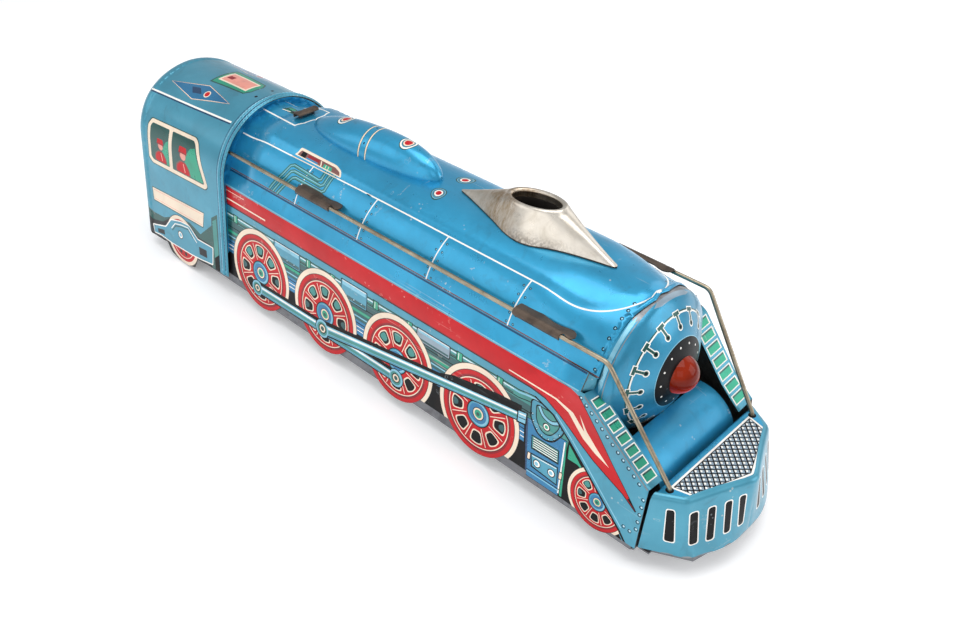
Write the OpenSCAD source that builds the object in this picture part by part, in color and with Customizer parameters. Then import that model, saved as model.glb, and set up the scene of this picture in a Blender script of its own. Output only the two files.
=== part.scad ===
// Tin toy train: streamlined steam locomotive with a pressed and printed body
// over a battery drive. Millimetres, +X forward, +Y left, +Z up,
// origin on the floor under the middle of the train.

/* [Body] */
// half width of the side sheets at wheel centre height
body_half_w = 40.6; // [36:0.1:46]
// height of the printed wheel centres above the floor
hub_z = 26.5; // [24:0.1:30]
// inward lean of the sides, degrees
lean = 5.9; // [0:0.1:10]
// thickness of the tin sheet
tin_t = 0.6; // [0.4:0.05:1]
// rear end of the side sheets, inside the cab
panel_rear = -118; // [-130:0.5:-110]
// height of the top fold of the side sheets above the wheel centres
panel_top = 40.6; // [36:0.1:46]
// start of the front diagonal
diag_x0 = 128; // [120:0.5:136]
// end of the front diagonal
diag_x1 = 165.2; // [160:0.1:170]
// height of the low end of the diagonal above the wheel centres
diag_v1 = 15.1; // [10:0.1:20]
// width of the flange along the diagonal
flange_w = 9.5; // [6:0.1:12]
// upper band: height above the fold
band_h = 7.3; // [5:0.1:10]
// upper band: how far it runs inwards
band_in = 4.5; // [1:0.1:6]

/* [Die-cut lower edge] */
// centre of the rear driving wheel print
wheel1_x = -82.7; // [-90:0.1:-76]
// distance between driving wheel prints
wheel_pitch = 53; // [48:0.1:56]
// radius of the tyre print
tyre_r = 21.4; // [18:0.1:24]
// pilot wheel print centre
pilot_wheel_x = 144.1; // [138:0.1:150]
// pilot wheel print radius
pilot_tyre_r = 13.9; // [10:0.1:16]
// lower edge between the wheels, from wheel centre height
edge_v = -13; // [-18:0.1:-8]

/* [Boiler] */
// boiler arch radius
boiler_r = 33; // [30:0.1:36]
// boiler arch centre height
boiler_z = 65.5; // [62:0.1:69]
// rear end of the boiler sheet
boiler_x0 = -120; // [-130:0.5:-114]
// front rim of the boiler sheet
boiler_x1 = 134.2; // [130:0.1:138]
// crown arc radius
crown_r = 25; // [22:0.1:34]
// crown top height
crown_top = 101.6; // [100:0.1:104]
// half width of the fairing at its foot
crown_half_w = 18.2; // [16:0.1:22]
// cove radius along the fairing
cove_r = 6; // [4:0.1:8]
// centre of the rounded nose
nose_x = 112; // [100:0.5:120]

/* [Dome and stack] */
// dome rear end
dome_x0 = -76; // [-84:0.5:-66]
// dome front end
dome_x1 = 13.2; // [4:0.5:20]
// dome section radius
dome_r = 10.6; // [8:0.1:13]
// stack centre
stack_x = 68.4; // [60:0.1:76]
// stack half length, tip to centre
stack_half_l = 43.8; // [36:0.1:48]
// stack half width
stack_half_w = 15.3; // [12:0.1:18]
// stack top height
stack_top = 118; // [112:0.1:122]
// stack hole radius
stack_hole_r = 10.2; // [8:0.1:12]
// stack lip radius
stack_lip_r = 13.5; // [11:0.1:15]

/* [Front] */
// front cap radius
cap_r = 29; // [27:0.1:31]
// front cap centre height
cap_z = 67.5; // [64:0.1:69]
// front cap dome radius
cap_dome_r = 38.7; // [34:0.1:50]
// front cap apex
cap_x = 151.4; // [146:0.1:156]
// lens radius
lens_r = 7.3; // [5:0.1:9]
// lens tip
lens_x = 161; // [156:0.1:166]
// pilot apex at the bottom edge
pilot_x = 192.8; // [188:0.1:198]
// pilot deck height
pilot_top = 39.5; // [36:0.1:44]
// pilot lower edge height
pilot_bottom = 11; // [8:0.1:14]

/* [Cab] */
// cab rear end
cab_x0 = -192.7; // [-200:0.1:-186]
// cab front edge
cab_x1 = -113.5; // [-120:0.1:-106]
// cab half width at wheel centre height
cab_half_w = 41.85; // [40:0.05:46]
// cab roof arc radius
cab_r = 38.6; // [36:0.1:42]
// cab roof arc centre height
cab_z = 65.4; // [62:0.1:70]

/* [Handrails] */
// wire radius
wire_r = 1.1; // [0.8:0.05:1.5]
// distance of the wires from the middle
rail_y = 31.4; // [30:0.1:34]
// height of the straight run
rail_z = 83.5; // [80:0.1:88]
// front bend
rail_bend_x = 134.6; // [128:0.1:140]

/* [Running gear] */
// driving unit pivot
pivot_x = 70; // [50:0.5:80]
// driven wheel radius over the tyre
drive_r = 15; // [13:0.1:18]
// rear axle position
rear_x = -150; // [-165:0.5:-130]
// rear wheel radius
rear_r = 13; // [11:0.1:15]
// axle radius
axle_r = 1.5; // [1.2:0.05:2]
// radial running clearance
run_c = 0.05; // [0.02:0.01:0.09]
// gear module
gear_m = 1; // [0.8:0.1:1.2]
// underside of the base sheet
base_z = 8.2; // [7:0.1:10]
// base sheet thickness
base_t = 0.8; // [0.6:0.05:1.2]

/* [Hidden] */
$fn = 96;
e = 0.01;
base_top = base_z + base_t;
seam_z = hub_z + panel_top * cos(lean) + band_h;
fold_y = body_half_w - panel_top * sin(lean);
seam_y = fold_y - band_in;
mid_z = drive_r + gear_m * 16;
motor_x = pivot_x + gear_m * 17;
cell_r = 17.1;
cell_y = 17.5;
cell_z = base_top + 2 + cell_r;
bat_x0 = -110;
bat_x1 = -42;
cap_depth = 25.4;
hinge_z = base_z - 2.3;

function side_y(z) = body_half_w - tan(lean) * (z - hub_z);

// ---- shared shapes

// sheet lying d below the outer face of the right side, t thick; 2D x along the train, y up the side
module on_side(d, t) {
    translate([0, -body_half_w, hub_z]) rotate([-lean, 0, 0]) rotate([90, 0, 0])
        translate([0, 0, -d - t]) linear_extrude(t) children();
}
// 2D (y, z) section drawn as (x, y), run along the train from x0 to x1
module along_x(x0, x1) {
    translate([x0, 0, 0]) rotate([90, 0, 90]) linear_extrude(x1 - x0) children();
}
// 2D (x, z) outline run across the train from y0 to y1
module across_y(y0, y1) {
    translate([0, y1, 0]) rotate([90, 0, 0]) linear_extrude(y1 - y0) children();
}
// cylinder across the train
module cyl_y(x, z, r, y0, y1) {
    translate([x, y1, z]) rotate([90, 0, 0]) cylinder(h = y1 - y0, r = r);
}
// cylinder along the train
module cyl_x(y, z, r, x0, x1) {
    translate([x0, y, z]) rotate([0, 90, 0]) cylinder(h = x1 - x0, r = r);
}
// straight wire between two points
module rod(a, b, r) {
    v = b - a;
    l = norm(v);
    translate(a) rotate([0, acos(v[2] / l), atan2(v[1], v[0])]) cylinder(h = l, r = r, $fn = 32);
}
module ring_y(x, z, ro, ri, y0, y1) {
    difference() {
        cyl_y(x, z, ro, y0, y1);
        cyl_y(x, z, ri, y0 - 1, y1 + 1);
    }
}

// ---- boiler and crown

module fairing_2d(d) {
    difference() {
        intersection() {
            translate([0, crown_top - crown_r]) circle(r = crown_r - d);
            translate([-crown_half_w + d, boiler_z + 15]) square([2 * (crown_half_w - d), 60]);
        }
        for (s = [-1, 1])
            translate([s * crown_half_w, crown_top - 3.6]) circle(r = cove_r + d, $fn = 48);
    }
}
module boiler_solid(d, x0, x1) {
    along_x(x0, x1) intersection() {
        translate([0, boiler_z]) circle(r = boiler_r - d);
        translate([-60, seam_z - (d > 0 ? 1 : 0)]) square([120, 80]);
    }
    along_x(x0, nose_x) fairing_2d(d);
    translate([nose_x, 0, 0]) rotate_extrude() intersection() {
        fairing_2d(d);
        translate([0, 0]) square([60, 140]);
    }
}
module boiler_shell() {
    color([0.30, 0.62, 0.75]) difference() {
        union() {
            boiler_solid(0, boiler_x0, boiler_x1);
            // rolled bead round the front rim
            along_x(boiler_x1 - 1.6, boiler_x1) intersection() {
                difference() {
                    translate([0, boiler_z]) circle(r = boiler_r + 0.5);
                    translate([0, boiler_z]) circle(r = boiler_r - 1);
                }
                translate([-60, seam_z]) square([120, 80]);
            }
        }
        boiler_solid(tin_t, boiler_x0 - 1, boiler_x1 + 1);
        // two slots for the legs of the switch tab
        for (s = [-1, 1]) translate([-87.6, s * 4 - 0.7, crown_top - 6]) cube([9.2, 1.4, 12]);
    }
}

// ---- side sheets

module panel_outline() {
    polygon([[panel_rear, panel_top], [diag_x0, panel_top], [diag_x1, diag_v1], [diag_x1, -15.8],
        [151, -15.8], [126.2, -15.2], [106.8, -15.2], [106.8, edge_v], [panel_rear, edge_v]]);
    for (i = [0:3]) translate([wheel1_x + i * wheel_pitch, 0]) circle(r = tyre_r);
    translate([pilot_wheel_x, -5.4]) circle(r = pilot_tyre_r);
}
module side_panel_right() {
    color([0.35, 0.63, 0.70]) {
        on_side(0, tin_t) panel_outline();
        // flange along the front diagonal, notched round the front cap at its upper end
        difference() {
            on_side(tin_t - 0.3, flange_w + 0.3) polygon([[diag_x0, panel_top], [diag_x1, diag_v1],
                [diag_x1 - 0.9, diag_v1], [diag_x0 - 0.9, panel_top]]);
            translate([cap_x - 32, 0, cap_z]) rotate([0, 90, 0]) cylinder(r = cap_r + 0.4, h = 24);
        }
        // upper band between the fold and the boiler seam
        along_x(panel_rear + 0.4, diag_x0 - 1.5) polygon([[-fold_y + 0.15, seam_z - band_h - 0.35], [-seam_y, seam_z],
            [-seam_y + tin_t, seam_z], [-fold_y + 0.45, seam_z - band_h - 0.35]]);
    }
}
module side_panel_left() {
    mirror([0, 1, 0]) side_panel_right();
}

// ---- cab

module cab_2d(d) {
    zb = 1;
    zt = cab_z + cab_r * sin(lean);
    yb = cab_half_w - tan(lean) * (zb - hub_z) - d;
    yt = cab_half_w - tan(lean) * (zt - hub_z) - d;
    polygon([[-yb, zb], [yb, zb], [yt, zt], [-yt, zt]]);
    translate([0, cab_z]) circle(r = cab_r - d);
}
module cab_shell() {
    color([0.36, 0.63, 0.70]) difference() {
        union() {
            along_x(cab_x0, cab_x1) cab_2d(0);
            for (x = [cab_x1 - 1.2, cab_x1 - 4.4]) along_x(x, x + 1.2) cab_2d(-0.5);
        }
        along_x(cab_x0 - 1, cab_x1 + 1) union() {
            cab_2d(tin_t);
            translate([-60, -1]) square([120, 3]);
        }
        // die-cut lower edge with the trailing wheel outline
        across_y(-60, 60) difference() {
            polygon([[-200, -5], [-100, -5], [-100, 13.8], [-113, 13.8], [-126, 10.5], [-139, 9.2],
                [-172, 8.4], [-188, 6.6], [-191.6, 8.2], [-200, 8.2]]);
            translate([-155.5, 16]) circle(r = 15);
        }
    }
}
module cab_front() {
    color([0.10, 0.25, 0.32]) difference() {
        along_x(cab_x1 - 6.4, cab_x1 - 5.6) intersection() {
            cab_2d(tin_t);
            translate([-60, seam_z + 0.1]) square([120, 80]);
        }
        boiler_solid(-0.05, boiler_x0 - 1, boiler_x1);
    }
}
module cab_back() {
    color([0.36, 0.63, 0.70]) along_x(cab_x0 + 0.4, cab_x0 + 1.2) intersection() {
        cab_2d(tin_t);
        translate([-60, base_top]) square([120, 120]);
    }
}

// ---- dome and stack

module dome_capsule(d) {
    zc = crown_top - 2.6;
    r = dome_r - d;
    translate([dome_x0 + dome_r, 0, zc]) sphere(r = r);
    translate([dome_x1 - dome_r, 0, zc]) sphere(r = r);
    cyl_x(0, zc, r, dome_x0 + dome_r, dome_x1 - dome_r);
}
module steam_dome() {
    color([0.32, 0.64, 0.77]) difference() {
        dome_capsule(0);
        dome_capsule(tin_t);
        boiler_solid(0, boiler_x0, boiler_x1);
    }
}
// pyramid on a lozenge, faces rising from the edges to the collar
module lozenge(d) {
    a = atan2(stack_half_w, stack_half_l);
    rise = 42;
    z0 = crown_top - 4.2;
    difference() {
        translate([-stack_half_l, -stack_half_w, z0 - d])
            cube([2 * stack_half_l, 2 * stack_half_w, stack_top - 3.4 - z0]);
        for (sx = [0, 1], sy = [0, 1]) mirror([sx, 0, 0]) mirror([0, sy, 0])
            translate([stack_half_l, 0, z0 - d]) rotate([0, 0, 180 - a]) rotate([rise, 0, 0])
                translate([-40, -80, -40]) cube([160, 80, 120]);
        for (s = [0, 1]) mirror([s, 0, 0]) translate([stack_half_l, 0, z0 - d]) rotate([0, -68, 0])
            translate([0, -40, -20]) cube([60, 80, 120]);
    }
}
module stack_collar() {
    rotate_extrude() difference() {
        polygon([[stack_hole_r, crown_top - 3], [stack_hole_r, stack_top - 1.2], [stack_lip_r - 1.4, stack_top - 1.2],
            [stack_lip_r - 1.0, stack_top - 4], [stack_half_w - 0.2, crown_top - 3]]);
        translate([stack_lip_r + 5.2, stack_top - 5]) circle(r = 6, $fn = 48);
    }
    translate([0, 0, stack_top - 1.35]) rotate_extrude() translate([(stack_hole_r + stack_lip_r) / 2, 0])
        circle(r = (stack_lip_r - stack_hole_r) / 2 - 0.3, $fn = 32);
}
module smokestack() {
    color([0.74, 0.70, 0.64]) difference() {
        translate([stack_x, 0, 0]) difference() {
            union() {
                lozenge(0);
                stack_collar();
            }
            translate([0, 0, crown_top - 8]) cylinder(h = 40, r = stack_hole_r);
            lozenge(1);
        }
        boiler_solid(0, boiler_x0, boiler_x1);
    }
}

// ---- front end

module cap_2d(d) {
    intersection() {
        translate([0, -cap_dome_r]) circle(r = cap_dome_r - d);
        translate([0, -cap_depth - (d > 0 ? 1 : 0)]) square([cap_r - d, cap_depth + 5]);
    }
}
module smokebox_front() {
    color([0.32, 0.66, 0.80]) translate([cap_x, 0, cap_z]) rotate([0, 90, 0]) rotate_extrude() difference() {
        cap_2d(0);
        cap_2d(tin_t);
        translate([-1, -60]) square([lens_r + 1.05, 80]);
    }
}
module lens_solid(r, tip) {
    cyl_x(0, cap_z, r, cap_x - 4, tip - r);
    translate([tip - r, 0, cap_z]) sphere(r = r);
}
module headlamp_lens() {
    color([0.75, 0.10, 0.08, 0.8]) difference() {
        union() {
            lens_solid(lens_r, lens_x);
            cyl_x(0, cap_z, lens_r + 1.8, cap_x - 4, cap_x - 1.75);
        }
        lens_solid(lens_r - 1.2, lens_x - 1.2);
        cyl_x(0, cap_z, lens_r - 1.2, cap_x - 8, cap_x);
    }
}
module headlamp_bulb() {
    color([0.95, 0.92, 0.85, 0.7]) {
        cyl_x(0, cap_z, 3.2, cap_x - 9, cap_x + 1);
        translate([cap_x + 1, 0, cap_z]) sphere(r = 3.9);
    }
}
module bulb_socket() {
    color([0.70, 0.60, 0.35]) {
        difference() {
            cyl_x(0, cap_z, 4.2, cap_x - 28, cap_x - 5);
            cyl_x(0, cap_z, 3.2, cap_x - 9, cap_x);
        }
        translate([cap_x - 28, -5, base_top]) cube([0.8, 10, cap_z - base_top + 4]);
    }
}
module lamp_lead() {
    color([0.15, 0.15, 0.16]) {
        p = [[-40.3, 6, 41], [-35, 6, 61], [108, 6, 61], [cap_x - 28.5, 2.5, cap_z - 1]];
        for (i = [0:2]) rod(p[i], p[i + 1], 0.7);
        for (i = [1:2]) translate(p[i]) sphere(r = 0.95, $fn = 24);
    }
}
module front_apron() {
    color([0.15, 0.45, 0.65]) {
        difference() {
            cyl_y(146.5, 27.6, 18.5, -27.6, 27.6);
            cyl_y(146.5, 27.6, 18.5 - tin_t, -30, 30);
            translate([100, -40, 0]) cube([45.5, 80, 80]);
            translate([100, -40, -10]) cube([100, 80, 42]);
        }
        for (s = [-1, 1]) translate([154, s > 0 ? 27.5 : -38.2, 43.2]) cube([3, 10.7, tin_t]);
    }
}
// wedge-shaped plan with leaning walls; d moves every face inwards
module pilot_solid(d, z0, z1, wall) {
    apex = [pilot_x, 0];
    corner = [pilot_x - 6.8, 29.4];
    back = [diag_x1 + 0.4, 39.9];
    difference() {
        translate([diag_x1 + 0.4, -46, z0]) cube([40, 92, z1 - z0]);
        for (s = [0, 1]) mirror([0, s, 0]) {
            translate([apex[0], apex[1], pilot_bottom])
                rotate([0, 0, atan2(corner[1] - apex[1], corner[0] - apex[0])]) rotate([-wall, 0, 0])
                    translate([-60, d - 60, -40]) cube([160, 60, 100]);
            translate([corner[0], corner[1], pilot_bottom])
                rotate([0, 0, atan2(back[1] - corner[1], back[0] - corner[0])]) rotate([-wall * 0.75, 0, 0])
                    translate([-60, d - 60, -40]) cube([160, 60, 100]);
        }
    }
}
module pilot() {
    color([0.33, 0.66, 0.78]) difference() {
        pilot_solid(0, pilot_bottom, pilot_top, 8);
        pilot_solid(tin_t, pilot_bottom - 1, pilot_top - tin_t, 8);
        translate([diag_x1, -34, pilot_bottom - 2]) cube([2, 68, pilot_top - tin_t - pilot_bottom + 2]);
        for (s = [-1, 1]) translate([169.6, s * 30.6, pilot_top - 4]) cylinder(h = 8, r = wire_r + 0.5, $fn = 32);
    }
}

// ---- handrails

module handrail_right() {
    color([0.62, 0.55, 0.42]) {
        p = [[cab_x1 - 5.6, -rail_y, rail_z], [rail_bend_x, -rail_y, rail_z],
            [169.6, -30.6, pilot_top + 1], [169.6, -30.6, pilot_top - 6]];
        for (i = [0:2]) rod(p[i], p[i + 1], wire_r);
        for (i = [1:2]) translate(p[i]) sphere(r = wire_r + 0.15, $fn = 32);
    }
}
module handrail_left() {
    mirror([0, 1, 0]) handrail_right();
}
module strap(x0, l) {
    inner = sqrt(pow(boiler_r, 2) - pow(rail_z + 1.7 - boiler_z, 2));
    difference() {
        union() {
            translate([x0, -rail_y - 2.6, rail_z + 1.3]) cube([l, rail_y + 2.6 - inner + 4, tin_t]);
            for (x = [x0, x0 + l - tin_t]) translate([x, -rail_y - 2.6, rail_z - 2.4]) cube([tin_t, 5.2, 4]);
        }
        boiler_solid(0, boiler_x0, boiler_x1);
        rod([x0 - 1, -rail_y, rail_z], [x0 + l + 1, -rail_y, rail_z], wire_r + 0.05);
    }
}
module handrail_brackets() {
    color([0.33, 0.27, 0.23]) for (s = [0, 1], x = [-56, 86]) mirror([0, s, 0]) strap(x, 31);
}

// ---- switch

module switch_lever() {
    color([0.36, 0.30, 0.27]) {
        translate([-87, -6.6, crown_top + 0.4]) cube([3.2, 13.2, 1.6]);
        for (s = [-1, 1]) translate([-86.6, s * 4 - 0.35, crown_top - 7]) cube([2.4, 0.7, 8]);
        translate([-86.6, -4.35, crown_top - 7]) cube([2.4, 8.7, 0.6]);
    }
}
module switch_contact() {
    color([0.72, 0.58, 0.30]) {
        translate([-96, -5, crown_top - 9]) cube([22, 10, 0.5]);
        for (x = [-96, -75]) translate([x, -3, crown_top - 8.5 - e]) cube([1, 6, 7.73]);
    }
}

// ---- base and battery compartment

module base_plate() {
    color([0.22, 0.22, 0.23]) {
        difference() {
            union() {
                translate([cab_x0 + 1.4, -41.2, base_z]) cube([diag_x1 - 1 - cab_x0 - 1.4, 82.4, base_t]);
                pilot_solid(2.2, base_z, base_top, 0);
                translate([150, -38.6, base_z]) cube([20, 77.2, base_t]);
                for (s = [0, 1]) mirror([0, s, 0]) on_side(tin_t + 0.05, tin_t)
                    translate([cab_x0 + 10, -18.3]) square([diag_x1 - 12 - cab_x0, 11]);
            }
            translate([pivot_x, 0, base_z - 5]) cylinder(h = 12, r = 34);
            translate([bat_x0, -35.6, base_z - 5]) cube([bat_x1 - bat_x0, 71.2, 12]);
            for (s = [-1, 1]) translate([rear_x - 14.6, s * 31.2 - 3.4, base_z - 5]) cube([29.2, 6.8, 12]);
            for (x = [-176, 20, 118], s = [-1, 1]) translate([x, s * 36.5, base_z - 2]) cylinder(h = 5, r = 1.2, $fn = 32);
        }
        // rim under the pilot
        difference() {
            pilot_solid(1.4, 7.6, pilot_bottom - 0.05, 0);
            pilot_solid(2.3, 5, pilot_bottom + 5, 0);
            translate([diag_x1 - 2, -34, 4]) cube([3.4, 68, 12]);
        }
        // hinge knuckles for the battery door
        for (s = [-1, 1]) difference() {
            union() {
                cyl_y(bat_x0 - 3, hinge_z, 1.9, s * 24 - 5, s * 24 + 5);
                translate([bat_x0 - 4.9, s * 24 - 5, hinge_z]) cube([3.8, 10, 2.6]);
            }
            cyl_y(bat_x0 - 3, hinge_z, 0.9, s * 24 - 6, s * 24 + 6);
        }
    }
}
module base_screws() {
    color([0.66, 0.64, 0.60]) for (x = [-176, 20, 118], s = [-1, 1]) translate([x, s * 36.5, base_z - 1.2]) {
        cylinder(h = 1.2, r = 2.6, $fn = 32);
        cylinder(h = 5, r = 1.2, $fn = 32);
    }
}
module battery_box() {
    color([0.55, 0.55, 0.55]) difference() {
        translate([bat_x0 - 0.8, -36.4, base_top]) cube([bat_x1 - bat_x0 + 1.6, 72.8, 38.6]);
        translate([bat_x0, -35.6, base_top - 1]) cube([bat_x1 - bat_x0, 71.2, 38.8]);
    }
}
module batteries() {
    color([0.75, 0.62, 0.28]) for (s = [-1, 1]) {
        cyl_x(s * cell_y, cell_z, cell_r, s > 0 ? bat_x0 + 3 : bat_x0 + 4.8, s > 0 ? bat_x0 + 62.7 : bat_x0 + 64.5);
        if (s > 0) cyl_x(s * cell_y, cell_z, 4.6, bat_x0 + 62.7 - e, bat_x0 + 64.4);
        else cyl_x(s * cell_y, cell_z, 4.6, bat_x0 + 3.1, bat_x0 + 4.8 + e);
    }
}
module battery_contacts() {
    color([0.75, 0.60, 0.30]) {
        translate([bat_x0 + 0.02, -30, cell_z - 8]) cube([0.6, 60, 16]);
        for (s = [-1, 1]) translate([bat_x1 - 0.62, s * cell_y - 8, cell_z - 8]) cube([0.6, 16, 16]);
        // coils on the spring sides
        for (i = [0:2]) {
            translate([bat_x1 - 1.0 - i * 0.9, -cell_y, cell_z]) rotate([0, 90, 0]) rotate_extrude()
                translate([7 - i, 0]) circle(r = 0.5, $fn = 24);
            translate([bat_x0 + 0.9 + i * 0.8, cell_y, cell_z]) rotate([0, 90, 0]) rotate_extrude()
                translate([7 - i, 0]) circle(r = 0.45, $fn = 24);
        }
    }
}
module battery_door() {
    color([0.24, 0.24, 0.25]) difference() {
        union() {
            translate([bat_x0 + 0.4, -35.2, base_z - 0.5]) cube([bat_x1 - bat_x0 - 0.8, 70.4, base_t]);
            // middle knuckle and its leaf
            cyl_y(bat_x0 - 3, hinge_z, 1.9, -18.4, 18.4);
            translate([bat_x0 - 3, -18.4, hinge_z - 1.9]) cube([5, 36.8, 0.9]);
            translate([bat_x0 + 0.4, -18.4, hinge_z - 1.9]) cube([1.6, 36.8, 4]);
            // finger lip at the free edge
            translate([bat_x1 - 4, -8, base_z - 2.4]) cube([3, 16, 2.2]);
        }
        cyl_y(bat_x0 - 3, hinge_z, 0.9 + run_c, -30, 30);
    }
}
module door_hinge_pin() {
    color([0.70, 0.68, 0.64]) cyl_y(bat_x0 - 3, hinge_z, 0.9, -29, 29);
}

// ---- driving unit

module turntable_bridge() {
    color([0.60, 0.60, 0.58]) difference() {
        union() {
            translate([pivot_x - 8, -36, 50]) cube([16, 72, 1.2]);
            for (s = [-1, 1]) translate([pivot_x - 8, s > 0 ? 34.8 : -36, base_top]) cube([16, 1.2, 51.2 - base_top]);
        }
        translate([pivot_x, 0, 40]) cylinder(h = 20, r = 3 + run_c, $fn = 48);
    }
}
module bogie_frame() {
    color([0.62, 0.62, 0.60]) difference() {
        union() {
            difference() {
                translate([pivot_x, 0, base_z]) cylinder(h = base_t, r = 33.4);
                for (s = [-1, 1]) translate([pivot_x - 16.6, s * 23.5 - 3.9, base_z - 1]) cube([33.2, 7.8, 4]);
                translate([pivot_x - 13.4, -16.9, base_z - 1]) cube([26.8, 4.4, 4]);
            }
            for (s = [-1, 1]) translate([pivot_x - 20, s > 0 ? 17.5 : -18.5, base_z]) cube([45, 1, 38.8]);
            translate([pivot_x - 8, -18.5, 46]) cube([16, 37, 1]);
            translate([pivot_x, 0, 47 - e]) cylinder(h = 2.6, r = 6, $fn = 48);
            translate([pivot_x, 0, 47]) cylinder(h = 7, r = 3, $fn = 48);
            // motor saddle between the cheeks
            translate([motor_x - 8, -8, 18.2]) cube([16, 26, 1]);
        }
        cyl_y(pivot_x, drive_r, axle_r + run_c, -30, 30);
        cyl_y(pivot_x, mid_z, 1.2, -30, 30);
        cyl_y(motor_x, mid_z, 2.4, -30, -10);
    }
}
module pivot_clip() {
    color([0.70, 0.68, 0.64]) difference() {
        translate([pivot_x, 0, 51.6]) cylinder(h = 0.8, r = 5, $fn = 48);
        translate([pivot_x, 0, 51]) cylinder(h = 3, r = 3, $fn = 48);
    }
}
module motor_can() {
    color([0.66, 0.66, 0.64]) difference() {
        union() {
            cyl_y(motor_x, mid_z, 11.5, -8, 17.4);
            cyl_y(motor_x, mid_z, 3, -8.9, -8 + e);
        }
        cyl_y(motor_x, mid_z, 1 + run_c, -9.5, 10);
    }
}
module spur(teeth, h, bore, turn) {
    r = gear_m * teeth / 2;
    linear_extrude(h) difference() {
        union() {
            circle(r = r - 1.2 * gear_m, $fn = 64);
            for (i = [0:teeth - 1]) rotate(turn + i * 360 / teeth) polygon([[r - 1.7 * gear_m, -0.8 * gear_m],
                [r - 1.2 * gear_m, -0.75 * gear_m], [r, -0.5 * gear_m], [r + 0.8 * gear_m, -0.25 * gear_m],
                [r + 0.8 * gear_m, 0.25 * gear_m], [r, 0.5 * gear_m], [r - 1.2 * gear_m, 0.75 * gear_m],
                [r - 1.7 * gear_m, 0.8 * gear_m]]);
        }
        circle(r = bore, $fn = 48);
    }
}
// gear across the train; turn is measured from +X towards +Z
module spur_y(x, z, y0, y1, teeth, bore, turn) {
    translate([x, y1, z]) rotate([90, 0, 0]) spur(teeth, y1 - y0, bore, turn);
}
module motor_pinion() {
    color([0.80, 0.68, 0.36]) {
        spur_y(motor_x, mid_z, -12.4, -9.6, 10, 1, 18);
        cyl_y(motor_x, mid_z, 1, -13.2, 6);
    }
}
module layshaft() {
    color([0.70, 0.69, 0.66]) cyl_y(pivot_x, mid_z, 1.2, -18.5, 18.5);
}
module compound_gear() {
    color([0.82, 0.70, 0.38]) {
        spur_y(pivot_x, mid_z, -12.5, -9.5, 24, 1.2 + run_c, 0);
        spur_y(pivot_x, mid_z, -16.6, -12.5 + e, 10, 1.2 + run_c, 18);
    }
}
module axle_gear() {
    color([0.80, 0.68, 0.36]) spur_y(pivot_x, drive_r, -16.4, -13.6, 22, axle_r, 90 + 180 / 22);
}
module drive_axle() {
    color([0.70, 0.69, 0.66]) cyl_y(pivot_x, drive_r, axle_r, -27.4, 27.4);
}
module drive_wheels() {
    color([0.30, 0.30, 0.31]) for (s = [0, 1]) mirror([0, s, 0]) difference() {
        union() {
            ring_y(pivot_x, drive_r, drive_r - 1.8, axle_r, 20.5, 26.5);
        }
        ring_y(pivot_x, drive_r, drive_r - 4, 4, 24.9, 30);
    }
}
module drive_tyres() {
    color([0.12, 0.12, 0.12]) for (s = [0, 1]) mirror([0, s, 0]) ring_y(pivot_x, drive_r, drive_r, drive_r - 1.8, 20.5, 26.5);
}

// ---- rear axle

module rear_axle_bracket() {
    color([0.60, 0.60, 0.58]) difference() {
        union() {
            translate([rear_x - 7, -25, base_top]) cube([14, 50, 0.8]);
            for (s = [-1, 1]) translate([rear_x - 5, s > 0 ? 24 : -25, base_top]) cube([10, 1, rear_r + 4 - base_top]);
        }
        cyl_y(rear_x, rear_r, axle_r + run_c, -30, 30);
    }
}
module rear_axle() {
    color([0.70, 0.69, 0.66]) cyl_y(rear_x, rear_r, axle_r, -34.4, 34.4);
}
module rear_wheels() {
    color([0.30, 0.30, 0.31]) for (s = [0, 1]) mirror([0, s, 0]) difference() {
        ring_y(rear_x, rear_r, rear_r, axle_r, 28.6, 33.6);
        ring_y(rear_x, rear_r, rear_r - 2.4, 4, 32, 36);
    }
}

boiler_shell();
side_panel_right();
side_panel_left();
cab_shell();
cab_front();
cab_back();
steam_dome();
smokestack();
smokebox_front();
headlamp_lens();
headlamp_bulb();
bulb_socket();
lamp_lead();
front_apron();
pilot();
handrail_right();
handrail_left();
handrail_brackets();
switch_lever();
switch_contact();
base_plate();
base_screws();
battery_box();
batteries();
battery_contacts();
battery_door();
door_hinge_pin();
turntable_bridge();
bogie_frame();
pivot_clip();
motor_can();
motor_pinion();
layshaft();
compound_gear();
axle_gear();
drive_axle();
drive_wheels();
drive_tyres();
rear_axle_bracket();
rear_axle();
rear_wheels();
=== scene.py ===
import math
import random

import bpy
import numpy as np
from mathutils import Matrix, Vector
from mathutils.geometry import delaunay_2d_cdt


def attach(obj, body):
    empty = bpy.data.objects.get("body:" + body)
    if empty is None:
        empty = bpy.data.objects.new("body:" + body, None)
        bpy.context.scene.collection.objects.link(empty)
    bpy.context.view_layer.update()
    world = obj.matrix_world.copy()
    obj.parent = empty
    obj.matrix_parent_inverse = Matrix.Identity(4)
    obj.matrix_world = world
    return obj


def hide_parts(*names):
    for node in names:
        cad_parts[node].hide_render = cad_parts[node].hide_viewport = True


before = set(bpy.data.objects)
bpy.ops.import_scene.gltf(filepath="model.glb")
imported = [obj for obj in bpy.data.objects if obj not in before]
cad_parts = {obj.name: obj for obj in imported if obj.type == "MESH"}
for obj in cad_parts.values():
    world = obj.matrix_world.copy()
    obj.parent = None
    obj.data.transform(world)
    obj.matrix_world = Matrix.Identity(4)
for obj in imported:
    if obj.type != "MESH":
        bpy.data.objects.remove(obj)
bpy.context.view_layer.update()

random.seed(7)

# ------------------------------------------------------------------ shapes (millimetres)
LEAN = math.radians(5.9)
SL, CL = math.sin(LEAN), math.cos(LEAN)
HUB = 26.5
HALF_W = 40.6


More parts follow.
